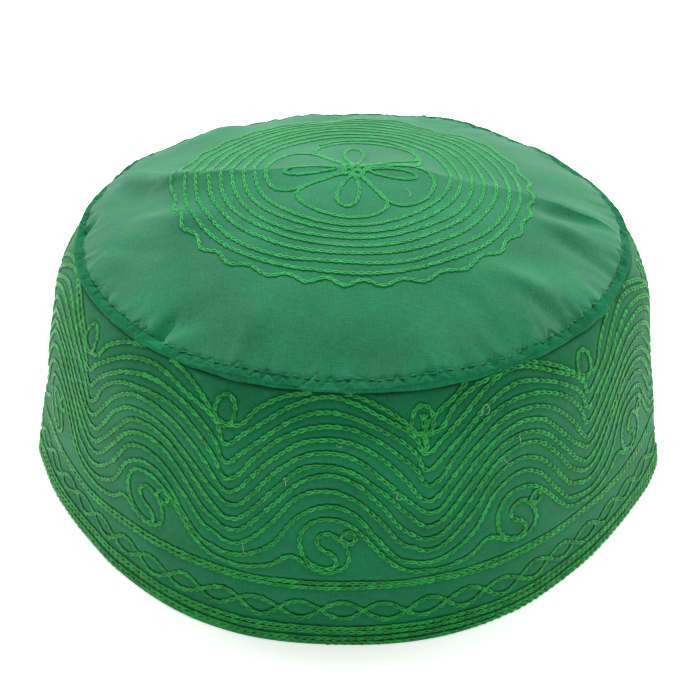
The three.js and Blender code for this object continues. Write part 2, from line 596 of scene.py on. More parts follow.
class Cloth:
    """A surface with lines of stitches on it, which pull the cloth in along them."""

    cell = 0.25  # size of a cell of the plan on which the pull is worked out
    step = 0.25  # length of a step along a line
    firmness = 1.6  # how soon lines that lie close together reach the full pull

    def __init__(self, rows: int, columns: int) -> None:
        """Starts with no lines.

        Args:
            rows: Cells of the plan across.
            columns: Cells of the plan around or along.
        """
        self.density = np.zeros((rows, columns))
        self.pulls: list[tuple[Array, float, float]] = []

    def pull(self, row: Array, column: Array) -> None:
        """Adds a line's points to the plan, in cells.

        Args:
            row: Row of each point.
            column: Column of each point.
        """
        r = np.clip(np.round(row).astype(int), 0, self.density.shape[0] - 1)
        c = np.round(column).astype(int) % self.density.shape[1]
        np.add.at(self.density, (r, c), self.step / self.cell**2)

    def settle(self, width: float) -> Array:
        """How far the cloth is pulled in at each cell: 1 on a line, with a bell of that half width.

        Args:
            width: Half width of the pull.

        Returns:
            The pull, limited where lines lie close together.
        """
        line = blurred(self.density, width / self.cell) * math.sqrt(2 * math.pi) * width
        return 1 - np.exp(-self.firmness * np.maximum(line, 0))


@dataclass
class BandPlan:
    """Turns the chart of the band into places on the wall.

    The chart has ten equal repeats of sixteen stations each, counted from a valley of the waves. The
    hand that drew them let the repeats grow and shrink a little on the way round.
    """

    repeats: int = 10
    stations: int = 16
    first_valley: float = 0.093
    unevenness: float = 0.0055
    station_length: float = 3.42  # in millimetres of the chart

    def share(self, station: Array) -> Array:
        """Share of the turn at a station, stretched by one slow sine."""
        even_share = self.first_valley + station / self.round_count()
        return even_share + self.unevenness * np.sin(2 * math.pi * (even_share - FRONT))

    def to_wall(self, line: Array) -> Array:
        """Chart millimetres to shares and heights."""
        return np.stack([self.share(line[:, 0] / self.station_length), line[:, 1]], 1)

    def round_count(self) -> int:
        """Stations in a whole turn."""
        return self.repeats * self.stations

    def starts(self) -> Array:
        """The station at which each repeat starts."""
        return np.arange(self.repeats) * self.stations


@dataclass(frozen=True)
class Stitch:
    """A kind of stitch: sizes in millimetres."""

    pitch: float
    width: float
    strand: float

    def tile(self) -> tuple[Array, Faces]:
        """One stitch: points as (along, across, up), with along in pitches, and its faces."""
        raise NotImplementedError


@dataclass(frozen=True)
class LoopPoint:
    """A point of half a chain loop: shares of its length and half width, and millimetres up."""

    along: float
    across: float
    up: float


LOOP = (
    LoopPoint(0.0, 0.0, -0.2),
    LoopPoint(0.15, 0.36, 0.14),
    LoopPoint(0.48, 0.62, 0.36),
    LoopPoint(0.75, 1.0, 0.38),
    LoopPoint(0.94, 0.74, 0.2),
    LoopPoint(1.0, 0.0, 0.04),
)


@dataclass(frozen=True)
class ChainStitch(Stitch):
    """A leaf of thread: a loop that starts at a point inside the last one's round end."""

    pitch: float = 2.4
    width: float = 1.42
    strand: float = 0.56
    reach: float = 1.12  # length of a loop, in pitches
    loft: float = 1.0  # how high its strands stand, against the table

    def tile(self) -> tuple[Array, Faces]:
        """One loop: out along one half of its table and back along the other.

        Its start dips into the cloth, its two strands lie close together at first and part towards the
        round end, which the next loop holds down.

        Returns:
            Points as (along, across, up), and faces.
        """
        aside = (self.width - self.strand) / 2
        half = np.array([(p.along * self.reach, p.across * aside, p.up * self.loft) for p in LOOP])
        whole = np.concatenate([half, half[-2:0:-1] * [1, -1, 1]])
        points, faces = tube(whole * [self.pitch, 1, 1], True, np.full(len(whole), self.strand))
        return points / [self.pitch, 1, 1], faces


@dataclass(frozen=True)
class ArchPoint:
    """A point of a straight stitch: shares of its length and of its strand, and millimetres up."""

    along: float
    thickness: float
    up: float


ARCH = (
    ArchPoint(0.0, 0.5, -0.3),
    ArchPoint(0.12, 0.9, 0.04),
    ArchPoint(0.35, 1.0, 0.16),
    ArchPoint(0.65, 1.0, 0.16),
    ArchPoint(0.88, 0.9, 0.04),
    ArchPoint(1.0, 0.5, -0.3),
)


@dataclass(frozen=True)
class RunningStitch(Stitch):
    """A short straight stitch whose ends go down into the cloth."""

    pitch: float = 3.1
    width: float = 0.4
    strand: float = 0.36
    share: float = 0.66  # of the pitch that shows

    def tile(self) -> tuple[Array, Faces]:
        """One stitch: a low arch of thread, thinner at both ends.

        Returns:
            Points as (along, across, up), and faces.
        """
        centre = np.array([(p.along * self.share * self.pitch, 0, p.up) for p in ARCH])
        thickness = self.strand * np.array([p.thickness for p in ARCH])
        points, faces = tube(centre, False, thickness)
        return points / [self.pitch, 1, 1], faces


@dataclass
class Sewing:
    """Lays stitches along lines that lie on a surface."""

    stitch: Stitch
    rng: np.random.Generator
    width_spread: float = 0.12
    side_spread: float = 0.07
    pitch_spread: float = 0.06
    lean_spread: float = 0.06

    def sew(self, lines: list[tuple[Array, Array, bool]]) -> tuple[Array, Faces, Array]:
        """Carries one stitch along every line.

        A stitch's point is at the line's point for its distance along, moved sideways and up by the
        line's own directions there. Each stitch differs a little in length, width and place.

        Args:
            lines: For each line its points, the unit vectors out of the cloth there, and whether it
                closes.

        Returns:
            Points, faces and a tint for each point.
        """
        tile, faces = self.stitch.tile()
        points = np.concatenate([self.follow(tile, *line) for line in lines])
        copies = len(points)
        shifts = self.rng.uniform(0, 10, (copies, 1)) * [0.0, 1.0]
        tint = np.repeat(self.rng.uniform(0, 1, copies), len(tile))
        return points.reshape(-1, 3), faces.repeated(copies, len(tile), shifts), tint

    def follow(self, tile: Array, line: Array, out: Array, closed: bool) -> Array:
        """The stitches of one line.

        Args:
            tile: Points of one stitch.
            line: Points of the line.
            out: Unit vectors out of the cloth.
            closed: Whether the line closes.

        Returns:
            An array of stitches, points and coordinates.
        """
        if closed:
            line, out = np.concatenate([line, line[:1]]), np.concatenate([out, out[:1]])
        steps = np.linalg.norm(np.diff(line, axis=0), axis=1)
        run = np.concatenate([[0], np.cumsum(steps)])
        ahead = np.gradient(line, axis=0)
        if closed:
            ahead[0] = ahead[-1] = line[1] - line[-2]
        side = np.cross(out, ahead)
        side /= np.linalg.norm(side, axis=1, keepdims=True)
        count = max(1, round(run[-1] / self.stitch.pitch))
        pitch = run[-1] / count
        start = (np.arange(count) + self.rng.uniform(-1, 1, count) * self.pitch_spread) * pitch
        place = start[:, None] + tile[None, :, 0] * pitch
        place = place % run[-1] if closed else np.clip(place, 0, run[-1])
        fuller = 1 + self.rng.uniform(-1, 1, (count, 1)) * self.width_spread
        aside = self.rng.uniform(-1, 1, (count, 1)) * self.side_spread
        lean = self.rng.uniform(-1, 1, (count, 1)) * self.lean_spread
        across = tile[None, :, 1] * fuller + aside + lean * (tile[None, :, 0] - 0.5) * pitch

        def read(values: Array) -> Array:
            """Values of the line at the places of the stitches."""
            return np.stack([np.interp(place, run, values[:, k]) for k in range(3)], -1)

        return read(line) + read(side) * across[..., None] + read(out) * tile[None, :, 2, None]

    def make(self, name: str, lines: list[tuple[Array, Array, bool]], finish: "Thread") -> None:
        """Makes one piece of stitches along some lines.

        Args:
            name: Name of the piece.
            lines: The lines, as for sew.
            finish: Its finish.
        """
        points, faces, tint = self.sew(lines)
        piece = make_piece(name, points, faces, tint)
        piece.data.materials.append(finish.material())


# The band's chart. Heights in millimetres at stations of one repeat, counted from a valley.
WAVE_STATIONS = (0, 1, 2, 4, 6, 8, 10, 12, 14, 15, 15.5)


@dataclass(frozen=True)
class WaveLine:
    """One line of the waves: its place from the top, and its heights at the stations."""

    row: int
    heights: tuple[float, ...]


WAVES = (
    WaveLine(2, (61.8, 65.4, 68.3, 73.4, 76.4, 77.4, 75.9, 73.0, 69.6, 66.2, 62.0)),
    WaveLine(3, (56.1, 59.9, 63.8, 69.5, 72.6, 73.8, 72.9, 70.2, 65.2, 60.8, 57.0)),
    WaveLine(4, (51.0, 53.4, 58.9, 66.0, 69.4, 70.4, 69.6, 66.5, 60.5, 56.2, 52.2)),
    WaveLine(5, (46.1, 48.1, 52.6, 60.8, 65.9, 67.0, 65.7, 61.5, 54.0, 48.8, 47.0)),
    WaveLine(6, (42.5, 43.1, 47.0, 56.0, 61.4, 63.0, 61.3, 55.5, 48.2, 45.1, 43.5)),
    WaveLine(7, (38.0, 38.8, 41.9, 50.3, 57.7, 59.2, 57.2, 51.4, 43.8, 40.3, 38.8)),
    WaveLine(8, (34.3, 34.7, 37.5, 45.8, 53.5, 55.7, 53.6, 47.1, 38.4, 36.0, 34.8)),
    WaveLine(9, (30.5, 30.7, 32.8, 39.7, 48.8, 51.1, 48.5, 41.6, 33.3, 32.0, 30.9)),
    WaveLine(10, (26.6, 26.7, 27.8, 32.8, 43.5, 46.4, 43.6, 35.9, 28.6, 27.6, 26.9)),
)

# The top line of the waves between two stretches that the crown hides, with its small loop at the
# valley, as (station, height).
LOOP_LINE = (
    (-7, 78.5), (-6, 77.9), (-4, 75.3), (-2, 70.9), (-0.9, 67.3), (-0.3, 67.2), (0.1, 68.4), (0.2, 70.5),
    (0.15, 73.0), (-0.35, 74.9), (-0.95, 74.9), (-1.4, 73.0), (-1.5, 70.5), (-1.3, 68.8), (-0.9, 67.9),
    (-0.3, 67.5), (0.1, 67.3), (0.5, 67.6), (1, 68.6), (2, 73.0), (4, 76.9), (5, 77.8), (6.3, 78.5),
)

# Where the top line starts and ends, at one valley beside the front: a second branch that runs up to
# the crown beside the first, and a bar of stitches over the valley.
DOUBLED_TURN = 7
DOUBLED_BRANCH = ((-0.5, 67.5), (-0.42, 70.3), (0.48, 72.4), (1.02, 73.4), (2.35, 76.2), (3.5, 78.5))
BAR_LINES = (
    ((-0.64, 73.2), (-0.58, 69.0), (-0.52, 65.0), (-0.46, 61.8)),
    ((-0.42, 72.8), (-0.4, 69.0), (-0.4, 65.5), (-0.42, 62.4)),
)

# The lowest line of the waves, with the swirl that fills each arch, as (station, height).
SWIRL_LINE = (
    (0, 23.8), (1, 23.5), (2, 23.9), (3, 24.7), (4, 26.1), (5, 28.9), (5.43, 29.2), (6, 28.4), (6.93, 26.0),
    (7.45, 25.1), (8, 24.5), (8.49, 24.2), (9, 24.7), (9.6, 25.9), (9.89, 27.3), (10, 29.2), (9.9, 31.1),
    (9.72, 32.8), (9.46, 34.2), (9.27, 35.4), (9.37, 37.1), (9.85, 38.4), (10.3, 37.2), (10.34, 35.4),
    (9.98, 34.4), (9.56, 35.2), (9, 35.7), (8.68, 37.1), (8.29, 37.6), (7.84, 37.3), (7.45, 36.0),
    (7.33, 34.2), (7.58, 32.7), (8, 31.3), (8.42, 30.7), (8.78, 29.2), (8.93, 27.6), (8.75, 26.0),
    (8.23, 25.4), (7.77, 25.7), (7, 27.0), (6.54, 28.6), (6.24, 30.7), (6.07, 33.0), (6.05, 35.2),
    (6.18, 37.3), (6.44, 39.2), (6.86, 40.8), (7.45, 41.8), (8, 42.1), (9, 41.7), (10, 39.8), (11, 36.5),
    (12, 32.1), (13, 28.3), (14, 25.6), (15, 24.2),
)


@dataclass
class SideBand:
    """The side band: its cloth, and the rows, waves and swirls stitched on it."""

    wall: Wall
    cloth: float = 1.6
    columns: int = 640
    rows: int = 122
    hem_rows: tuple[float, ...] = (1.25, 2.7, 4.8, 6.25)
    border_rows: tuple[float, ...] = (19.55, 21.0)
    border_drop: float = 2.0  # how far the border rows sink at the left end
    border_drop_share: float = 0.58
    border_drop_width: float = 0.035
    twist_lenses: int = 47
    twist_height: float = 11.8
    twist_swing: float = 2.7
    twist_phase: float = 0.11
    arch_rise: tuple[float, ...] = (0.4, -0.6, 0.5, -0.3, 0.6, -1.6, 0.0, 0.9, -0.4, 0.3)
    drift: float = 0.16  # how far the hand strays from a line, and a little more up and down
    drift_up: float = 0.2
    level_wave: float = 45.0  # the shortest wave of that along a level row
    drawn_wave: float = 30.0  # and along a drawn line
    pull_depth: float = 0.55
    pull_width: float = 0.62
    hem_pull: float = 0.45  # of the full depth, where the rows of the hem make the cloth stiff
    hem_top: float = 8.0  # height up to which they do
    softness: float = 0.16  # how uneven the cloth is
    softness_cells: float = 22.0
    lines: dict[str, list[Route]] = field(init=False)
    relief_grid: Array = field(init=False)

    def __post_init__(self) -> None:
        """Draws every line of stitches, then works out how they pull the cloth in."""
        self.plan = BandPlan()
        self.rng = np.random.default_rng(11)
        self.lines = {
            "hem_stitches": [self.level(height) for height in self.hem_rows],
            "twist_stitches": [self.twist()],
            "border_stitches": [self.sunk(self.level(height)) for height in self.border_rows],
            "wave_stitches_high": self.waves(2, 5) + self.looped(),
            "wave_stitches_low": self.waves(6, 10),
            "swirl_stitches": [self.swirls()],
        }
        self.relief_grid = self.relief()

    def level(self, height: float) -> Route:
        """A level row all round, which wanders a little.

        Args:
            height: Its height above the hem.

        Returns:
            The closed line.
        """
        count = round(self.wall.round_length(np.array(height)) / Cloth.step)
        share = np.arange(count) / count
        drift = wander(count, self.wall.lengths[0], self.drift, self.level_wave, self.rng)
        return Route(np.stack([share, height + drift], 1), True)

    def sunk(self, row: Route) -> Route:
        """A border row that dips in a bell at the left end."""
        bell = np.exp(-(((row.line[:, 0] - self.border_drop_share) / self.border_drop_width) ** 2))
        return Route(row.line - np.stack([0 * bell, self.border_drop * bell], 1), True)

    def twist(self) -> Route:
        """The two-strand twist: one wave with an odd number of half turns, so that it goes round twice.

        Slow sines move its middle, its swing and its turns a little, so that no two lenses are alike.

        Returns:
            The line, which crosses itself between the lenses.
        """
        count = round(2.3 * self.wall.lengths[0] / Cloth.step)
        share = 2 * np.arange(count) / count
        once, thrice = np.sin(2 * math.pi * (share - 0.1)), np.sin(6 * math.pi * share)
        middle = self.twist_height + 0.4 * once + 0.35 * thrice
        swing = self.twist_swing * (1 + 0.09 * np.sin(15 * math.pi * share))
        unsteady = 0.22 * np.sin(13 * math.pi * share + 1.0) + 0.16 * np.sin(31 * math.pi * share)
        turn = math.pi * (self.twist_lenses * share + self.twist_phase) + unsteady
        line = np.stack([share, middle + swing * np.sin(turn)], 1)
        return Route(line, True)

    def drawn(self, chart: Array, closed: bool) -> Route:
        """A line of the chart as a smooth line on the wall, drawn by an unsteady hand.

        Args:
            chart: Stations and heights.
            closed: Whether it closes on the way round.

        Returns:
            The line.
        """
        plan = self.plan
        flat = chart * [plan.station_length, 1.0]
        if closed:
            whole = plan.round_count() * plan.station_length
            overlap = 6
            before, after = flat[-overlap:] - [whole, 0], flat[:overlap] + [whole, 0]
            line = spline(np.concatenate([before, flat, after]), False, Cloth.step)
            line = line[line[:, 0] >= flat[0, 0] - 1e-9]
            ends = np.nonzero(line[:, 0] >= flat[0, 0] + whole - Cloth.step / 2)[0]
            line = line[: ends[0]] if len(ends) else line
        else:
            line = spline(flat, False, Cloth.step)
        length = len(line) * Cloth.step
        line = line + np.stack([
            wander(len(line), length, self.drift, self.drawn_wave, self.rng),
            wander(len(line), length, self.drift_up, self.drawn_wave, self.rng),
        ], 1)
        return Route(plan.to_wall(line), closed)

    def waves(self, first: int, last: int) -> list[Route]:
        """The wave lines from one row to another, from the top.

        Args:
            first: The first row.
            last: The last row.

        Returns:
            The lines. Each arch stands a little higher or lower than the others, most at its crest.
        """
        within = np.array(WAVE_STATIONS)
        crest = np.sin(math.pi * within / self.plan.stations) ** 2
        rise = np.array(self.arch_rise)[:, None] * crest
        stations = (self.plan.starts()[:, None] + within).ravel()
        return [
            self.drawn(np.stack([stations, (np.array(wave.heights) + rise).ravel()], 1), True)
            for wave in WAVES
            if first <= wave.row <= last
        ]

    def looped(self) -> list[Route]:
        """The stretches of the top line that show, one at each valley.

        Returns:
            The lines, with the extra ones of the valley where the top line starts and ends.
        """
        starts = self.plan.starts()
        lines = [np.array(LOOP_LINE) + [start, 0.0] for start in starts]
        extra = [DOUBLED_BRANCH, *BAR_LINES]
        lines += [np.array(line) + [starts[DOUBLED_TURN], 0.0] for line in extra]
        return [self.drawn(line, False) for line in lines]

    def swirls(self) -> Route:
        """The lowest line, with a swirl in each arch."""
        whole = np.concatenate([np.array(SWIRL_LINE) + [start, 0.0] for start in self.plan.starts()])
        return self.drawn(whole, True)

    def relief(self) -> Array:
        """How far the outer face stands in or out at each cell: pulled in along the stitches.

        Returns:
            A grid over heights and shares.
        """
        columns = round(self.wall.lengths[0] / Cloth.cell)
        rows = round(self.wall.height / Cloth.cell)
        margin = 40  # cells above and below, so that the blur doesn't join the hem to the top
        cloth = Cloth(rows + 2 * margin, columns)
        for routes in self.lines.values():
            for route in routes:
                cloth.pull(margin + route.line[:, 1] / Cloth.cell, route.line[:, 0] * columns)
        pull = cloth.settle(self.pull_width)[margin : margin + rows + 1]
        height = np.arange(rows + 1)[:, None] * Cloth.cell
        stiff = np.interp(height, [0, self.hem_top, self.hem_top + 2], [self.hem_pull, self.hem_pull, 1.0])
        soft = unevenness(pull.shape, self.softness_cells, 5)
        return -self.pull_depth * stiff * pull + self.softness * soft

    def face(self, share: Array, height: Array) -> Array:
        """How far the outer face stands out of the plain wall at a place."""
        grid = self.relief_grid
        return sample_grid(grid, height / Cloth.cell, share * grid.shape[1])

    def section(self) -> Array:
        """Rows of the cloth's section, from the hem up the outside, over the top and down the inside.

        Returns:
            Height, depth into the cloth, and share of the relief of each row.
        """
        top, cloth = self.wall.height, self.cloth
        hem = [(0.0, 0.6, 0), (0.08, 0.22, 0.2), (0.35, 0.02, 0.6)]
        outside = [(height, 0.0, 1.0) for height in np.linspace(0.9, top - 0.7, self.rows)]
        rim = [(top - 0.3, 0.3, 0.2), (top - 0.05, 0.62, 0), (top, 0.9, 0), (top - 0.05, 1.25, 0)]
        inside = [(height, cloth, 0) for height in (top - 0.5, *np.linspace(top - 3, 2, 10), 0.45)]
        return np.array([*hem, *outside, *rim, *inside, (0.1, cloth - 0.3, 0)])

    def build(self) -> None:
        """Makes the cloth and every group of stitches."""
        section = self.section()
        share = np.arange(self.columns) / self.columns
        height = np.repeat(section[:, :1], self.columns, 1)
        share_grid = np.repeat(share[None], len(section), 0)
        out = self.face(share_grid, height) * section[:, 2:3] - section[:, 1:2]
        points = self.wall.points(share_grid, height) + self.wall.normals(share_grid, height) * out[..., None]
        run = np.concatenate([[0], np.cumsum(np.hypot(*np.diff(section[:, :2], axis=0).T))])
        run = np.append(run, run[-1] + self.cloth)
        around = np.append(share, 1.0) * self.wall.lengths[0]
        faces = grid_faces(len(section), self.columns, True, run, around)
        piece = make_piece("side_band_cloth", points.reshape(-1, 3), faces)
        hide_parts("side_band")
        piece.data.materials.append(BAND_CLOTH.material())
        for name, routes in self.lines.items():
            self.sew(name, routes)
        fibres("loose_fibres_low", [self.fibre(np.array(chart)) for chart in BAND_FIBRES])

    def fibre(self, chart: Array) -> Array:
        """Points of a fibre that lies on the wall's stitches.

        Args:
            chart: Shares of the turn and heights.

        Returns:
            Points along it.
        """
        scale, raised = [self.wall.lengths[0], 1.0], 0.6
        share, height = (spline(chart * scale, False, FIBRE_STEP) / scale).T
        return self.wall.points(share, height) + self.wall.normals(share, height) * raised

    def sew(self, name: str, routes: list[Route]) -> None:
        """Makes one piece of stitches along some lines.

        Args:
            name: Name of the piece.
            routes: Its lines.
        """
        lines = []
        for route in routes:
            share, height = route.line[::-1].T
            out = self.wall.normals(share, height)
            place = self.wall.points(share, height) + out * self.face(share, height)[:, None]
            lines.append((place, out, route.closed))
        Sewing(ChainStitch(), self.rng).make(name, lines, EMBROIDERY)


# Loose ends and fibres of a paler thread: shares of the turn and heights on the band, and on the crown
# x, y and how far they stand up.
FIBRE_STEP = 0.3
FIBRE_THICKNESS = 0.13
FIBRE_UPRIGHT = (0.57, 0.57, 0.59)
BAND_FIBRES = (
    ((0.7010, 31.5), (0.7016, 29.8), (0.7022, 28.4), (0.7035, 28.2)),
    ((0.7755, 50.6), (0.7770, 50.9), (0.7782, 50.0), (0.7775, 49.0), (0.7790, 48.2), (0.7805, 48.9)),
    ((0.7212, 55.0), (0.7217, 53.6), (0.7221, 52.2)),
    ((0.8215, 69.6), (0.8228, 71.6), (0.8245, 72.2), (0.8262, 71.2), (0.8258, 69.9), (0.8240, 69.5)),
    ((0.8436, 60.2), (0.8445, 59.0), (0.8447, 57.6)),
    ((0.8350, 54.4), (0.8365, 53.0), (0.8385, 52.1)),
    ((0.7465, 66.0), (0.7480, 65.2), (0.7492, 65.6)),
)
CROWN_FIBRES = (
    ((15.5, -10.5, 0.3), (16.9, -13.0, 0.4), (16.5, -14.5, 0.3)),
    ((-14.6, -29.6, 0.5), (-13.4, -30.6, 0.8), (-12.4, -29.8, 0.5)),
    ((8.4, 58.0, 0.3), (9.6, 58.6, 1.5), (11.4, 59.6, 2.0), (13.4, 60.6, 2.6)),
)


def fibres(name: str, lines: list[Array]) -> None:
    """Makes one piece of thin loose fibres.

    Args:
        name: Name of the piece.
        lines: Points of each fibre.
    """
    strands = [tube(line, False, np.full(len(line), FIBRE_THICKNESS), FIBRE_UPRIGHT) for line in lines]
    points = np.concatenate([strand for strand, _ in strands])
    starts = np.cumsum([0] + [len(strand) for strand, _ in strands[:-1]])
    quads = np.concatenate([faces.quads + start for (_, faces), start in zip(strands, starts)])
    uv = np.concatenate([faces.quad_uv for _, faces in strands])
    piece = make_piece(name, points, Faces(quads, uv), np.ones(len(points)))
    piece.data.materials.append(PALE_THREAD.material())


@dataclass(frozen=True)
class Petal:
    """A petal of the flower, seen from its knot: the spokes beside it in degrees, and its reach."""

    start: float
    end: float
    reach: float
    notch: float = 15.0


@dataclass(frozen=True)
class Eye:
    """The drop inside a petal: its direction in degrees, where it starts and ends, and its half width."""

    angle: float
    start: float
    reach: float
    half_width: float


PETALS = (
    Petal(start=-150, end=-56, reach=22.4),
    Petal(start=-57, end=13, reach=23.4, notch=12.0),
    Petal(start=31, end=129, reach=26.3),
    Petal(start=132, end=210, reach=25.8),
)


@dataclass(frozen=True)
class PetalPoint:
    """A point of a petal: shares of the turn between its spokes, of its lobe, and of the way to it."""

    turn: float
    lobe: float
    spoke: float


PETAL_OUTLINE = (
    PetalPoint(0.08, 0.0, 0.3),
    PetalPoint(0.02, 0.0, 0.65),
    PetalPoint(0.0, 0.0, 1.0),
    PetalPoint(0.03, 0.5, 1.0),
    PetalPoint(0.12, 0.8, 1.0),
    PetalPoint(0.3, 0.97, 1.0),
    PetalPoint(0.5, 1.0, 1.0),
    PetalPoint(0.7, 0.97, 1.0),
    PetalPoint(0.88, 0.8, 1.0),
    PetalPoint(0.97, 0.5, 1.0),
    PetalPoint(1.0, 0.0, 1.0),
    PetalPoint(0.98, 0.0, 0.65),
    PetalPoint(0.92, 0.0, 0.3),
)

EYES = (
    Eye(angle=-97, start=3.5, reach=17.6, half_width=3.6),
    Eye(angle=-5, start=4.0, reach=17.7, half_width=2.7),
    Eye(angle=93, start=3.5, reach=19.8, half_width=3.3),
    Eye(angle=181, start=5.5, reach=20.2, half_width=2.2),
)

# The fifth leaf of the flower, which runs from the knot around the wide one at the back: x and y from
# the crown's middle.
OUTER_LEAF = (
    (2.0, -1.2), (7.0, 0.8), (13.0, 1.8), (18.2, 3.0), (19.4, 8.0), (19.0, 13.4), (17.0, 18.6), (12.8, 23.6),
    (8.2, 26.0), (3.4, 26.8), (-2.0, 26.2), (-7.0, 24.6), (-10.4, 21.6),
)


@dataclass(frozen=True)
class Crease:
    """A sharper fold of the crown, in millimetres of its plan: an elongated bell, with turn in degrees."""

    x: float
    y: float
    run: float
    reach: float
    turn: float
    height: float


CREASES = (
    Crease(x=-45, y=1.5, run=12, reach=1.8, turn=-8, height=0.5),
    Crease(x=-62, y=15, run=16, reach=2.6, turn=130, height=0.9),
    Crease(x=-66, y=9, run=13, reach=3.0, turn=135, height=-0.9),
    Crease(x=-78, y=-2.5, run=4.5, reach=1.3, turn=52, height=-1.5),
    Crease(x=-51, y=-57, run=6, reach=2.0, turn=40, height=-1.5),
    Crease(x=-43, y=-62, run=5, reach=2.4, turn=42, height=0.5),
    Crease(x=-26, y=-62, run=8, reach=3.6, turn=60, height=0.3),
    Crease(x=-9, y=-66, run=9, reach=3.5, turn=100, height=-0.3),
    Crease(x=-46, y=50, run=13, reach=6.0, turn=42, height=1.6),
    Crease(x=-10, y=60, run=6, reach=5.0, turn=80, height=-0.9),
    Crease(x=20, y=60, run=6, reach=4.0, turn=80, height=-0.8),
    Crease(x=64, y=-3.0, run=12, reach=2.6, turn=7, height=-0.8),
    Crease(x=61, y=-12, run=10, reach=2.8, turn=-4, height=0.5),
    Crease(x=66, y=-19, run=9, reach=2.8, turn=-10, height=-0.5),
    Crease(x=49, y=-40, run=10, reach=3.0, turn=-8, height=0.5),
    Crease(x=53, y=-46, run=9, reach=2.8, turn=-25, height=-0.55),
    Crease(x=38, y=-55, run=10, reach=3.2, turn=-52, height=-0.45),
    Crease(x=-61, y=-24, run=11, reach=3.0, turn=-35, height=-0.8),
    Crease(x=-52, y=-16, run=12, reach=3.2, turn=-28, height=0.7),
)


@dataclass(frozen=True)
class LipRing:
    """A ring of the turned edge: how far it stands out of the seam's outline, and above the seam."""

    outwards: float
    height: float


LIP = (
    LipRing(0.12, 0.95),
    LipRing(0.18, 0.6),
    LipRing(0.16, 0.08),
    LipRing(0.08, -0.24),
    LipRing(-0.04, -0.34),
    LipRing(-0.7, -0.22),
    LipRing(-1.75, -0.3),
    LipRing(-1.85, -1.8),
    LipRing(-2.3, -1.5),
)


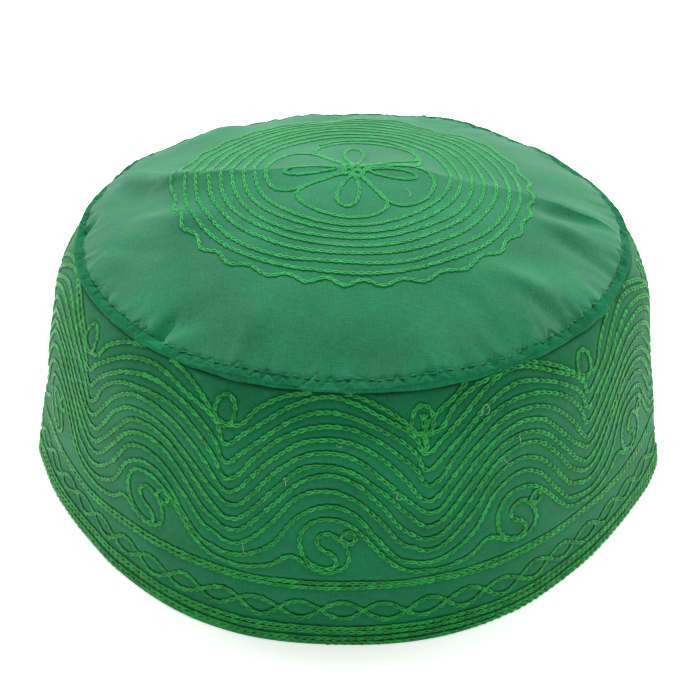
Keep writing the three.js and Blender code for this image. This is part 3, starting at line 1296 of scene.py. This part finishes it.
@dataclass
class Crown:
    """The crown: its cloth, its medallion of rings around a flower, and the stitches at its edge."""

    dome: Dome
    cloth: float = 1.4
    columns: int = 560  # of the middle; the part outside the medallion has twice as many
    middle_rings: int = 62
    outer_rings: int = 15
    rim_rings: int = 25
    rim: float = 9.0  # width of the part beside the seam that has its rings closest together
    inner_rings: tuple[float, ...] = (0.985, 0.93, 0.82, 0.64, 0.42, 0.2, 0.05)  # shares of the radius
    eased: float = 1.035  # the flat cloth is that much longer than the seam is across
    rings: tuple[float, ...] = (28.0, 31.1, 34.5, 37.6, 41.0, 44.8, 48.0)
    ring_back: float = 0.5  # the rings' middle lies this far behind the crown's
    rear_stretch: float = 1.06  # of the rings' half behind the fold
    front_draw: float = 1.8  # how far the outer rows are drawn in at the front
    front_turn: float = 4.55  # where they are, as an angle around the middle
    front_spread: float = 0.42
    drift: float = 0.18  # how far the hand strays from a ring
    drift_wave: float = 30.0  # the shortest wave of that
    scallop_radius: float = 51.4
    scallops: int = 28
    scallop_swing: float = 0.7
    knot: tuple[float, float] = (0.8, -2.5)
    knot_radius: float = 3.6
    scallop_margin: float = 4.0  # of plain cloth around it that has the medallion's fine mesh
    edge_row: float = 2.2  # the row of straight stitches lies this far above the seam
    seam_wander: float = 500.0  # length of seam over which what varies along it comes round
    tent_width: tuple[float, float] = (3.0, 6.4)
    tent_height: tuple[float, float] = (2.2, 3.9)
    tent_lean: float = 0.55
    tent_lift: tuple[float, float] = (0.1, 0.3)
    tent_cut: tuple[float, float] = (0.25, 0.75)
    tent_gap: tuple[float, float] = (-0.6, 3.2)
    gathers: int = 62
    gather_lean: float = 0.45
    gather_width: tuple[float, float] = (0.9, 2.0)
    gather_length: tuple[float, float] = (3.5, 8.0)
    gather_height: tuple[float, float] = (0.12, 0.5)
    pull_depth: float = 0.08
    pull_width: float = 0.6
    softness_cells: float = 24.0
    half_plan: float = 90.0
    lines: dict[str, list[Route]] = field(init=False)
    relief_grid: Array = field(init=False)

    def __post_init__(self) -> None:
        """Draws every line of stitches, then works out how they pull the cloth in."""
        self.rng = np.random.default_rng(23)
        self.lines = {
            "ring_stitches": [self.ring(radius) for radius in self.rings],
            "scallop_stitches": [self.scallop()],
            "flower_stitches": self.flower(),
        }
        self.relief_grid = self.relief()

    def medallion(self, turn: Array, radius: Array) -> Array:
        """Places on the medallion, which isn't quite round.

        Args:
            turn: Angles around its middle.
            radius: Distances from it, for a round medallion.

        Returns:
            Places on the plan. The rear half is longer, and the outer rows are drawn in at the front.
        """
        outer = np.clip((radius - self.rings[0]) / (self.rings[-1] - self.rings[0]), 0, 1)
        bell = np.exp(-(((turn - self.front_turn) / self.front_spread) ** 2))
        r = radius + 0.4 - self.front_draw * outer * bell
        y = r * np.sin(turn)
        return np.stack([r * np.cos(turn), self.ring_back + np.where(y > 0, y * self.rear_stretch, y)], 1)

    def ring(self, radius: float) -> Route:
        """A round row, which wanders a little.

        Args:
            radius: Its radius.

        Returns:
            The closed line.
        """
        around = 2 * math.pi * radius
        count = round(around / Cloth.step)
        turn = np.linspace(0, 2 * math.pi, count, endpoint=False)
        r = radius + wander(count, around, self.drift, self.drift_wave, self.rng)
        return Route(self.medallion(turn, r), True)

    def scallop(self) -> Route:
        """The outermost row: a ring whose radius rises and falls from scallop to scallop.

        Returns:
            The line. Each scallop has its own depth, and they aren't all as long.
        """
        count = round(2 * math.pi * self.scallop_radius * 1.12 / Cloth.step)
        turn = np.linspace(0, 2 * math.pi, count, endpoint=False)
        phase = self.scallops * turn + 0.6 * np.sin(5 * turn + 1.0) + 0.5 * np.sin(3 * turn)
        depth = self.scallop_swing * (1 - 0.25 * np.sin(turn) + 0.12 * np.sin(7 * turn + 0.5))
        wave = np.cos(phase) + 0.05 * np.cos(2 * phase)
        r = self.scallop_radius + depth * wave
        line = self.medallion(turn, r)
        return Route(even(np.concatenate([line, line[:1]]), True, Cloth.step), True)

    def flower(self) -> list[Route]:
        """The petals, the drops inside them, the outer leaf and the knot in the middle."""
        leaf = Route(spline(np.array(OUTER_LEAF), False, Cloth.step), False)
        return [self.petal(p) for p in PETALS] + [self.eye(e) for e in EYES] + [leaf, self.knot_line()]

    def from_knot(self, angle: Array, radius: Array) -> Array:
        """Places at angles and distances from the knot."""
        return np.stack([self.knot[0] + radius * np.cos(angle), self.knot[1] + radius * np.sin(angle)], -1)

    def petal(self, petal: Petal) -> Route:
        """A petal: out along one spoke, round a full lobe and back along the other spoke.

        A point's distance from the knot is the spoke's share of the way to the notch, and the lobe's
        share of the way from there to the reach.

        Args:
            petal: Its row of the table.

        Returns:
            The closed line.
        """
        share, lobe, spoke = np.array([(p.turn, p.lobe, p.spoke) for p in PETAL_OUTLINE]).T
        angle = np.radians(petal.start + (petal.end - petal.start) * share)
        radius = petal.notch * spoke + (petal.reach - petal.notch) * lobe
        return Route(spline(self.from_knot(angle, radius), True, Cloth.step), True)

    def eye(self, eye: Eye) -> Route:
        """A drop: out and back as a cosine, and to the sides as a sine that is fuller at the far end.

        Args:
            eye: Its row of the table.

        Returns:
            The closed line.
        """
        turn = np.linspace(0, 2 * math.pi, 16, endpoint=False)
        along = eye.start + (eye.reach - eye.start) * (1 - np.cos(turn)) / 2
        across = eye.half_width * np.sin(turn) * (0.8 - 0.3 * np.cos(turn))
        angle = math.radians(eye.angle)
        ahead = np.array([math.cos(angle), math.sin(angle)])
        aside = np.array([-math.sin(angle), math.cos(angle)])
        points = np.array(self.knot) + along[:, None] * ahead + across[:, None] * aside
        return Route(spline(points, True, Cloth.step), True)

    def knot_line(self) -> Route:
        """The knot: a small rose of five leaves, sewn over itself twice.

        Returns:
            The closed line, whose radius is a cosine with five turns in two rounds.
        """
        turn = np.linspace(0, 4 * math.pi, 60, endpoint=False)
        radius = self.knot_radius * (0.55 + 0.45 * np.cos(2.5 * turn))
        return Route(spline(self.from_knot(turn, radius), True, Cloth.step), True)

    def relief(self) -> Array:
        """How far the outer face stands in or out: pulled in along stitches, puckered at the seam.

        Returns:
            A grid over the plan.
        """
        cells = round(2 * self.half_plan / Cloth.cell)
        cloth = Cloth(cells, cells)
        for routes in self.lines.values():
            for route in routes:
                x, y = route.line.T
                cloth.pull((y + self.half_plan) / Cloth.cell, (x + self.half_plan) / Cloth.cell)
        pull = cloth.settle(self.pull_width)
        middle = np.arange(cells) * Cloth.cell - self.half_plan
        x, y = np.meshgrid(middle, middle)
        loose = np.interp(self.dome.radius(x, y), [0.66, 0.9], [0.22, 0.5])
        soft = loose * unevenness(pull.shape, self.softness_cells, 8)
        return -self.pull_depth * pull + soft + self.creases(x, y) + self.seam_relief(x, y)

    def creases(self, x: Array, y: Array) -> Array:
        """The sharper folds: each a bell across, and flat along most of its run.

        Args:
            x: Places to the right of the crown's middle.
            y: Places behind it.

        Returns:
            The relief, which fades at the seam.
        """
        relief = np.zeros_like(x)
        for crease in CREASES:
            turn = math.radians(crease.turn)
            u, v = x - crease.x, y - crease.y
            run = (u * math.cos(turn) + v * math.sin(turn)) / crease.run
            reach = (v * math.cos(turn) - u * math.sin(turn)) / crease.reach
            relief += crease.height * np.exp(-(run**4) - reach**2)
        return relief * np.clip((1 - self.dome.radius(x, y)) / 0.03, 0, 1)

    def seam_relief(self, x: Array, y: Array) -> Array:
        """Tucks and gathers at the seam, where the round cloth was eased into it.

        Args:
            x: Places to the right of the crown's middle.
            y: Places behind it.

        Returns:
            The relief, with a shallow line along the row of stitches.
        """
        turn = np.arctan2(y / self.dome.depth(y), x / self.dome.half_length) / (2 * math.pi) % 1.0
        inwards = (1 - self.dome.radius(x, y)) * self.dome.half_length
        near = (inwards > -4) & (inwards < 34)
        place, depth = turn[near] * self.around(), inwards[near]
        total = self.tucks(place, depth) + self.gather_relief(place, depth)
        row = np.exp(-(((depth - self.edge_row) / 0.55) ** 2))
        relief = np.zeros_like(x)
        relief[near] = total * np.clip(depth / 0.8, 0.3, 1) - 0.25 * row
        return relief

    def around(self) -> float:
        """Length of a circle as wide as the seam is long, by which places along the seam are told."""
        return 2 * math.pi * self.dome.half_length

    def beside(self, place: Array, middle: float) -> Array:
        """Distance along the seam from one place on it, the short way round."""
        around = self.around()
        return (place - middle + around / 2) % around - around / 2

    def tucks(self, place: Array, depth: Array) -> Array:
        """Small tents that stand up between two sharp creases.

        A tent's creases start apart on the seam and meet further in. Its cloth rises from each crease
        as one minus a bell, and the crease itself is a narrow bell downwards.

        Args:
            place: Distance along the seam.
            depth: Distance inwards from it.

        Returns:
            The relief.
        """
        rng = np.random.default_rng(31)
        relief = np.zeros_like(place)
        start = 0.0
        while start < self.around() - self.tent_width[0]:
            width, tall = rng.uniform(*self.tent_width), rng.uniform(*self.tent_height)
            lean = rng.uniform(-self.tent_lean, self.tent_lean)
            lift, cut = rng.uniform(*self.tent_lift), rng.uniform(*self.tent_cut)
            across = np.abs(self.beside(place, start + width / 2) - lean * depth)
            leg = (1 - (depth - 0.3) / tall) * width / 2 - across
            inside = np.clip((tall + 0.6 - depth) / 0.8, 0, 1)
            relief += lift * inside * (1 - np.exp(-((np.maximum(leg, 0) / 0.7) ** 2)))
            relief -= cut * inside * np.exp(-((leg / 0.34) ** 2))
            start += width + rng.uniform(*self.tent_gap)
        return relief

    def gather_relief(self, place: Array, depth: Array) -> Array:
        """Soft creases that run in from the seam, each with a ridge beside it.

        Args:
            place: Distance along the seam.
            depth: Distance inwards from it.

        Returns:
            The relief. It is deepest near the seam and dies out along each crease.
        """
        rng = np.random.default_rng(37)
        relief = np.zeros_like(place)
        for index in range(self.gathers):
            middle = (index + rng.uniform(-0.45, 0.45)) / self.gathers * self.around()
            lean, width = rng.uniform(-self.gather_lean, self.gather_lean), rng.uniform(*self.gather_width)
            length = rng.uniform(*self.gather_length) * rng.choice([1, 1, 1.6])
            height = rng.uniform(*self.gather_height)
            across = self.beside(place, middle) - lean * depth
            across = across / (width * (1 + np.maximum(depth, 0) / 16))
            fade = np.exp(-((np.maximum(depth - 1.0, 0) / length) ** 2))
            relief -= height * fade * (np.exp(-(across**2)) - 0.55 * np.exp(-((across - 1.7) ** 2)))
        return relief

    def face(self, x: Array, y: Array) -> Array:
        """How far the outer face stands out of the plain dome at a place."""
        grid = self.relief_grid
        return sample_grid(grid, (y + self.half_plan) / Cloth.cell, (x + self.half_plan) / Cloth.cell)

    def polar(self, radius: Array, columns: int, inset: float) -> tuple[Array, Array]:
        """Plan places of rings around the middle.

        Args:
            radius: Radius of each ring, in millimetres along the fold.
            columns: Places on each ring.
            inset: How far the seam's outline is drawn in.

        Returns:
            x and y of the grid.
        """
        share = radius[:, None] / self.dome.half_length
        turn = 2 * math.pi * np.arange(columns) / columns
        x = share * (self.dome.half_length - inset) * np.cos(turn)
        y = share * (self.dome.depth(np.sin(turn)) - inset) * np.sin(turn)
        return x, y

    def outside(self, radius: Array, columns: int) -> Array:
        """Rings of the outer face, with its relief."""
        x, y = self.polar(radius, columns, 0.0)
        return self.dome.points(x, y) + self.dome.normals(x, y) * self.face(x, y)[..., None]

    def edge(self, seam: Array) -> Array:
        """Rings of the turned edge, which rolls over on to the band.

        Args:
            seam: The outermost ring of the outer face.

        Returns:
            The rings, from the face to the allowance that hangs inside the band. They stand out a
            little more at some places.
        """
        dome = self.dome
        out = seam[:, :2] - [dome.shift, 0.0]
        out /= np.linalg.norm(out, axis=1, keepdims=True)
        rng = np.random.default_rng(41)
        bulge = wander(len(seam), self.seam_wander, 0.1, 9, rng)[:, None]
        droop = wander(len(seam), self.seam_wander, 0.04, 7, rng)

        def lip(ring: LipRing) -> Array:
            """One ring, which keeps the face's own ups and downs only in its upper part."""
            flat = seam[:, :2] + out * (ring.outwards + bulge * (ring.outwards > 0))
            lift = (seam[:, 2] - dome.seam - dome.edge) * max(0.0, (ring.height - 0.3) / dome.edge)
            return np.concatenate([flat, (dome.seam + ring.height + lift + droop)[:, None]], 1)

        return np.array([lip(ring) for ring in LIP])

    def build(self) -> None:
        """Makes the cloth and every group of stitches."""
        self.build_cloth()
        # The crown's rows use the lighter copy of the thread, whose lighter colour is painted light.
        flat_chain = Sewing(ChainStitch(pitch=2.3, width=1.3, strand=0.52, loft=0.3), self.rng)
        for name, routes in self.lines.items():
            self.sew(name, routes, flat_chain, LIT_CROWN_THREAD)
        loose = Sewing(
            RunningStitch(), self.rng, width_spread=0.0, side_spread=0.3, pitch_spread=0.22, lean_spread=0.22
        )
        self.sew("edge_stitches", [self.edge_line()], loose, EDGE_THREAD)
        fibres("loose_fibres_high", [self.fibre(np.array(chart)) for chart in CROWN_FIBRES])

    def build_cloth(self) -> None:
        """Makes the cloth: the outer face, the turned edge and the inside, as rings around the middle."""
        dome, few, many = self.dome, self.columns, 2 * self.columns
        middle, rim = self.scallop_radius + self.scallop_margin, dome.half_length - self.rim
        outer = self.outside(np.concatenate([
            np.linspace(middle, rim, self.outer_rings, endpoint=False),
            np.linspace(rim, dome.half_length, self.rim_rings),
        ]), many)
        inner = self.outside(np.linspace(0.9, middle, self.middle_rings, endpoint=False), few)
        x, y = self.polar(dome.half_length * np.array(self.inner_rings), many, self.cloth)
        inside = dome.points(x, y) - dome.normals(x, y) * self.cloth
        fine = np.concatenate([outer, self.edge(outer[-1]), inside])[::-1]
        coarse = inner[::-1]
        x, y = np.zeros(1), np.zeros(1)
        top = dome.points(x, y) + [[0, 0, float(self.face(x, y)[0])]]
        points = np.concatenate([fine.reshape(-1, 3), coarse.reshape(-1, 3), top, top - [[0, 0, self.cloth]]])
        faces = self.cloth_faces(len(fine), len(coarse), points)
        piece = make_piece("crown_cloth", points, faces)
        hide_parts("crown")
        # Faces from the inside over the edge up to the row of straight stitches take the turned finish, whose
        # darker colour is painted shade.
        beyond_row = round(self.edge_row * self.rim_rings / self.rim)
        turned = np.zeros(len(piece.data.polygons), dtype=np.int32)
        turned[: (len(fine) - len(outer) + beyond_row) * many] = 1
        piece.data.materials.append(CROWN_CLOTH.material())
        piece.data.materials.append(SHADED_TURNED_CLOTH.material())
        piece.data.polygons.foreach_set("material_index", turned)

    def cloth_faces(self, fine_rows: int, coarse_rows: int, points: Array) -> Faces:
        """Faces of the cloth: fine rings, a ring that halves their places, coarse rings and two poles.

        Args:
            fine_rows: Fine rings, from the inside's middle over the edge to the medallion.
            coarse_rows: Coarse rings, on to the top.
            points: All the points, with the top's and the inside's pole at the end.

        Returns:
            The faces, whose pattern is the plan.
        """
        few, many = self.columns, 2 * self.columns
        plan = points[:, :2]
        fine = grid_faces(fine_rows, many, False, np.zeros(fine_rows), np.zeros(many + 1)).quads
        start = fine_rows * many
        coarse = start + grid_faces(coarse_rows, few, False, np.zeros(coarse_rows), np.zeros(few + 1)).quads
        quads = np.concatenate([fine, coarse])
        column = np.arange(few)
        left, half, right = (start - many + (2 * column + step) % many for step in range(3))
        near, after = start + column, start + (column + 1) % few
        corners = ((left, half, near), (half, after, near), (half, right, after))
        joined = np.concatenate([np.stack(corner, 1) for corner in corners])
        upper, upper_uv = fan(len(points) - 2, start + (coarse_rows - 1) * few + column, plan, True)
        under, under_uv = fan(len(points) - 1, np.arange(many), plan, False)
        triangles = np.concatenate([joined, upper, under])
        return Faces(quads, plan[quads], triangles, np.concatenate([plan[joined], upper_uv, under_uv]))

    def fibre(self, chart: Array) -> Array:
        """Points of a fibre that lies on the crown or stands up from it."""
        x, y, up = spline(chart, False, FIBRE_STEP).T
        return self.dome.points(x, y) + np.stack([0 * up, 0 * up, up], 1)

    def edge_line(self) -> Route:
        """The row of straight stitches along the turned edge.

        Returns:
            The closed line, which keeps its distance from the seam but for a slow wander.
        """
        count = round(self.around() / Cloth.step)
        turn = np.linspace(0, 2 * math.pi, count, endpoint=False)
        inset = self.edge_row + wander(count, self.seam_wander, 0.2, 12, self.rng)
        x = (self.dome.half_length - inset) * np.cos(turn)
        y = (self.dome.depth(np.sin(turn)) - inset) * np.sin(turn)
        return Route(np.stack([x, y], 1), True)

    def sew(self, name: str, routes: list[Route], sewing: Sewing, finish: "Thread") -> None:
        """Makes one piece of stitches along some lines.

        Args:
            name: Name of the piece.
            routes: Its lines.
            sewing: The stitches, and how steady they are.
            finish: Its finish.
        """
        lines = []
        for route in routes:
            x, y = route.line.T
            out = self.dome.normals(x, y)
            lines.append((self.dome.points(x, y) + out * self.face(x, y)[:, None], out, route.closed))
        sewing.make(name, lines, finish)


# Finishes


def linear(colour: tuple[float, float, float]) -> tuple[float, float, float, float]:
    """A colour as a screen shows it, from 0 to 255, as light."""
    c = np.array(colour) / 255
    light = np.where(c <= 0.04045, c / 12.92, ((c + 0.055) / 1.055) ** 2.4)
    return (*light.tolist(), 1.0)


class Graph:
    """A material's nodes, added and joined one at a time."""

    def __init__(self, name: str) -> None:
        """Starts a material with a Principled shader."""
        self.material = bpy.data.materials.new(name)
        self.material.use_nodes = True
        self.nodes = self.material.node_tree.nodes
        self.links = self.material.node_tree.links
        self.shader = self.nodes["Principled BSDF"]

    def add(
        self, kind: str, inputs: dict[str | int, object] | None = None, **settings: object
    ) -> bpy.types.Node:
        """Adds a node.

        Args:
            kind: Its type, without ShaderNode.
            inputs: Values or sockets for its inputs, by name or number.
            settings: Its own settings.

        Returns:
            The node.
        """
        node = self.nodes.new("ShaderNode" + kind)
        for key, value in settings.items():
            setattr(node, key, value)
        for key, value in (inputs or {}).items():
            self.set(node, key, value)
        return node

    def set(self, node: bpy.types.Node, key: str | int, value: object) -> None:
        """Sets an input to a value, or joins it to a socket.

        Args:
            node: The node.
            key: Name or number of its input.
            value: A value, or another node's socket.
        """
        if isinstance(value, bpy.types.NodeSocket):
            self.links.new(value, node.inputs[key])
        else:
            node.inputs[key].default_value = value

    def combine(self, operation: str, *values: object) -> bpy.types.NodeSocket:
        """The result of a sum, a difference or a product."""
        return self.add("Math", dict(enumerate(values)), operation=operation).outputs[0]

    def noise(
        self, place: bpy.types.NodeSocket, scale: tuple[float, float, float], slant: float = 0.0
    ) -> bpy.types.NodeSocket:
        """Noise on the pattern.

        Args:
            place: The pattern.
            scale: Waves in a unit along each axis.
            slant: Turn of the axes.

        Returns:
            Values around a half.
        """
        mapping = self.add("Mapping", {"Vector": place, "Rotation": (0, 0, slant), "Scale": scale})
        node = self.add("TexNoise", {"Vector": mapping.outputs[0], "Scale": 1.0, "Detail": 3.0})
        return node.outputs["Fac"]

    def shade(self, values: dict[str, object]) -> None:
        """Sets inputs of the shader."""
        for key, value in values.items():
            self.set(self.shader, key, value)

    def raise_surface(self, height: bpy.types.NodeSocket, strength: float, distance: float) -> None:
        """Gives the shader a fine relief, that many metres high."""
        bump = self.add("Bump", {"Strength": strength, "Distance": distance, "Height": height})
        self.set(self.shader, "Normal", bump.outputs[0])

    def ramp(self, factor: bpy.types.NodeSocket, low: float, high: float) -> bpy.types.NodeSocket:
        """A value spread from 0 at low to 1 at high."""
        node = self.add("MapRange", {"Value": factor, "From Min": low, "From Max": high})
        return node.outputs["Result"]

    def blend(self, factor: object, a: object, b: object) -> bpy.types.NodeSocket:
        """Two colours mixed.

        Args:
            factor: Share of the second colour.
            a: The first colour.
            b: The second colour.

        Returns:
            The mixed colour.
        """
        node = self.add("Mix", data_type="RGBA")
        for index, value in ((0, factor), (6, a), (7, b)):
            self.set(node, index, value)
        return node.outputs[2]


@dataclass(frozen=True)
class Weave:
    """Plain woven cotton: a fine weave in relief, uneven threads and a soft bloom of fibres."""

    name: str
    colour: tuple[float, float, float]
    shade: tuple[float, float, float]
    bloom: float
    mottle: tuple[tuple[float, float], ...]  # uneven colour, as waves in a millimetre and strength
    thread: float = 0.42  # from one thread to the next
    roughness: float = 0.82

    def material(self) -> bpy.types.Material:
        """Makes the material.

        The pattern is in millimetres on the piece's own map. Two crossed waves make the weave, noise
        stretched along each of them makes slubs, and slanting noise makes the colour uneven.

        Returns:
            The material.
        """
        g = Graph(self.name)
        uv = g.add("UVMap", uv_map="pattern").outputs["UV"]
        slub = g.combine("ADD", g.noise(uv, (0.25, 2.6, 1)), g.noise(uv, (2.6, 0.25, 1)))
        value: object = 1.0
        for scale, amount in self.mottle:
            patches = g.noise(uv, (0.6 * scale, scale, 1), slant=0.6)
            value = g.combine("MULTIPLY_ADD", g.combine("SUBTRACT", patches, 0.5), amount, value)
        colour = g.blend(g.ramp(slub, 0.8, 1.25), linear(self.shade), linear(self.colour))
        patchy = g.add("HueSaturation", {"Color": colour, "Value": value})
        weave = g.combine("MULTIPLY", *(self.threads(g, uv, direction) for direction in ("X", "Y")))
        g.shade({
            "Base Color": patchy.outputs[0],
            "Roughness": self.roughness,
            "Specular IOR Level": 0.15,
            "Sheen Weight": self.bloom,
            "Sheen Roughness": 0.55,
            "Sheen Tint": linear((236, 248, 242)),
        })
        g.raise_surface(g.combine("ADD", weave, slub), 0.35, 0.00012)
        return g.material

    def threads(self, g: Graph, uv: bpy.types.NodeSocket, direction: str) -> bpy.types.NodeSocket:
        """Waves across one of the pattern's directions, one for each thread, and not quite straight.

        Args:
            g: The material's nodes.
            uv: The pattern.
            direction: X or Y.

        Returns:
            A value that is highest on the threads.
        """
        wave = g.add("TexWave", {
            "Vector": uv, "Scale": 2 * math.pi / self.thread / 20, "Distortion": 2.5, "Detail": 2.0,
            "Detail Scale": 1.6,
        }, bands_direction=direction)
        return wave.outputs["Fac"]


@dataclass(frozen=True)
class Thread:
    """Embroidery thread, with its twist in relief and each stitch a little lighter or darker."""

    name: str
    light: tuple[float, float, float]
    dark: tuple[float, float, float]
    twist: float = 0.5  # length of one turn of the twist
    roughness: float = 0.42

    def material(self) -> bpy.types.Material:
        """Makes the material.

        The pattern runs along the strand in millimetres and once around it, so a wave on their sum is
        the twist of its plies.

        Returns:
            The material.
        """
        g = Graph(self.name)
        uv = g.add("UVMap", uv_map="pattern").outputs["UV"]
        tint = g.add("Attribute", attribute_name="tint").outputs["Fac"]
        mapping = g.add("Mapping", {"Vector": uv, "Rotation": (0, 0, math.atan2(self.twist, 1.0))})
        plies = g.add("TexWave", {"Vector": mapping.outputs[0], "Scale": 0.5}, bands_direction="Y")
        g.shade({
            "Base Color": g.blend(tint, linear(self.dark), linear(self.light)),
            "Roughness": self.roughness,
            "Specular IOR Level": 0.25,
        })
        g.raise_surface(plies.outputs["Fac"], 0.4, 0.00006)
        return g.material


FINE_MOTTLE = ((0.08, 0.5), (0.9, 0.35), (3.2, 0.8))
BROAD_MOTTLE = ((0.06, 0.9), (0.9, 0.5), (3.2, 1.1))
BAND_CLOTH = Weave("band_cotton", colour=(14, 116, 69), shade=(9, 103, 61), bloom=0.1, mottle=FINE_MOTTLE)
CROWN_CLOTH = Weave(
    "crown_cotton", colour=(16, 121, 76), shade=(11, 109, 68), bloom=0.27, mottle=BROAD_MOTTLE
)
# The crown's cotton a little darker and without sheen, on the turned edge and the strip up to the row of
# straight stitches: its darker colour is painted shade on that steep strip.
SHADED_TURNED_CLOTH = Weave(
    "turned_cotton_painted_shade", colour=(14, 114, 70), shade=(9, 100, 61), bloom=0.0, mottle=BROAD_MOTTLE
)
EMBROIDERY = Thread("green_thread", light=(33, 159, 67), dark=(14, 126, 48))
# The band's thread again, painted lighter and paler on the crown: painted light, for the brighter light and
# whitish haze on the top and for softer shade between its rows.
LIT_CROWN_THREAD = Thread("crown_thread_painted_light", light=(40, 160, 80), dark=(24, 142, 68))
EDGE_THREAD = Thread("edge_thread", light=(22, 124, 84), dark=(10, 92, 62))
PALE_THREAD = Thread("pale_thread", light=(150, 196, 156), dark=(120, 170, 130))


# Studio


@dataclass(frozen=True)
class Softbox:
    """A square area light that looks at the cap: metres and watts."""

    name: str
    place: tuple[float, float, float]
    size: float
    power: float


SOFTBOXES = (
    Softbox("overhead", place=(0.0, 0.6, 1.14), size=1.0, power=24.5),
    Softbox("front", place=(0.0, -1.3, 0.8), size=0.8, power=3.4),
    Softbox("left", place=(-1.2, 0.45, 0.6), size=0.8, power=6.0),
    Softbox("right", place=(1.2, 0.45, 0.6), size=0.8, power=6.0),
)


@dataclass(frozen=True)
class Studio:
    """The floor, the lights and the camera."""

    target: tuple[float, float, float] = (0.0, 0.0, 0.04598)
    towards_camera: tuple[float, float, float] = (0.0310, -0.8351, 0.5492)
    distance: float = 0.7152
    lens: float = 122.03
    shift: tuple[float, float] = (0.0048, -0.0247)
    glow: float = 0.62  # light from the floor itself
    room: float = 0.15  # and from the room around

    def build(self) -> None:
        """Makes everything around the cap."""
        self.floor()
        self.lights()
        self.camera()

    def floor(self) -> None:
        """A plain pale floor, lit a little from below so that the cap's shadow stays faint."""
        bpy.ops.mesh.primitive_plane_add(size=12)
        floor = bpy.context.object
        floor.name = "floor"
        g = Graph("pale_floor")
        g.shade({
            "Base Color": (0.93, 0.93, 0.93, 1.0),
            "Roughness": 0.9,
            "Specular IOR Level": 0.1,
            "Emission Color": (1.0, 1.0, 1.0, 1.0),
            "Emission Strength": self.glow,
        })
        floor.data.materials.append(g.material)

    def lights(self) -> None:
        """A broad soft light behind and above, weaker ones in front and at the sides, and a dim room."""
        world = bpy.data.worlds.new("room")
        world.use_nodes = True
        background = world.node_tree.nodes["Background"]
        background.inputs["Color"].default_value = (1.0, 1.0, 1.0, 1.0)
        background.inputs["Strength"].default_value = self.room
        bpy.context.scene.world = world
        for box in SOFTBOXES:
            light = bpy.data.lights.new(box.name, "AREA")
            light.size = box.size
            light.energy = box.power
            ahead = Vector(self.target) - Vector(box.place)
            self.stand(box.name, light, Vector(box.place), ahead)

    def stand(self, name: str, data: bpy.types.ID, place: Vector, ahead: Vector) -> bpy.types.Object:
        """Puts a light or a camera at a place.

        Args:
            name: Name of the object.
            data: The light or the camera.
            place: Where it stands.
            ahead: The way it looks.

        Returns:
            The object.
        """
        thing = bpy.data.objects.new(name, data)
        thing.location = place
        thing.rotation_euler = ahead.to_track_quat("-Z", "Y").to_euler()
        bpy.context.scene.collection.objects.link(thing)
        return thing

    def camera(self) -> None:
        """The camera at the photograph's angle."""
        data = bpy.data.cameras.new("camera")
        data.lens = self.lens
        data.sensor_width = 36.0
        data.shift_x, data.shift_y = self.shift
        back = Vector(self.towards_camera).normalized()
        place = Vector(self.target) + back * self.distance
        bpy.context.scene.camera = self.stand("camera", data, place, -back)


def read_frame() -> tuple[Wall, Dome]:
    """The wall and the dome, with their outer sizes from the frame.

    Returns:
        The two surfaces, in millimetres.
    """
    band_low, band_high = (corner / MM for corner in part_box("side_band"))
    crown_low, crown_high = (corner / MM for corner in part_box("crown"))
    half_length = (crown_high.x - crown_low.x) / 2
    shift = (crown_high.x + crown_low.x) / 2
    wall = Wall(
        hem_half_length=(band_high.x - band_low.x) / 2,
        hem_half_depth=(band_high.y - band_low.y) / 2,
        height=band_high.z,
        seam_half_length=half_length,
        seam_front=-crown_low.y,
        seam_back=crown_high.y,
        shift=shift,
    )
    dome = Dome(half_length=half_length, front=-crown_low.y, back=crown_high.y, shift=shift, seam=crown_low.z)
    return wall, dome


def main() -> None:
    """Builds the cap and its studio."""
    logging.basicConfig(level=logging.INFO, format="%(message)s")
    bpy.context.scene.view_settings.view_transform = "Standard"
    Studio().build()
    wall, dome = read_frame()
    SideBand(wall).build()
    Crown(dome).build()


if __name__ == "__main__":
    main()
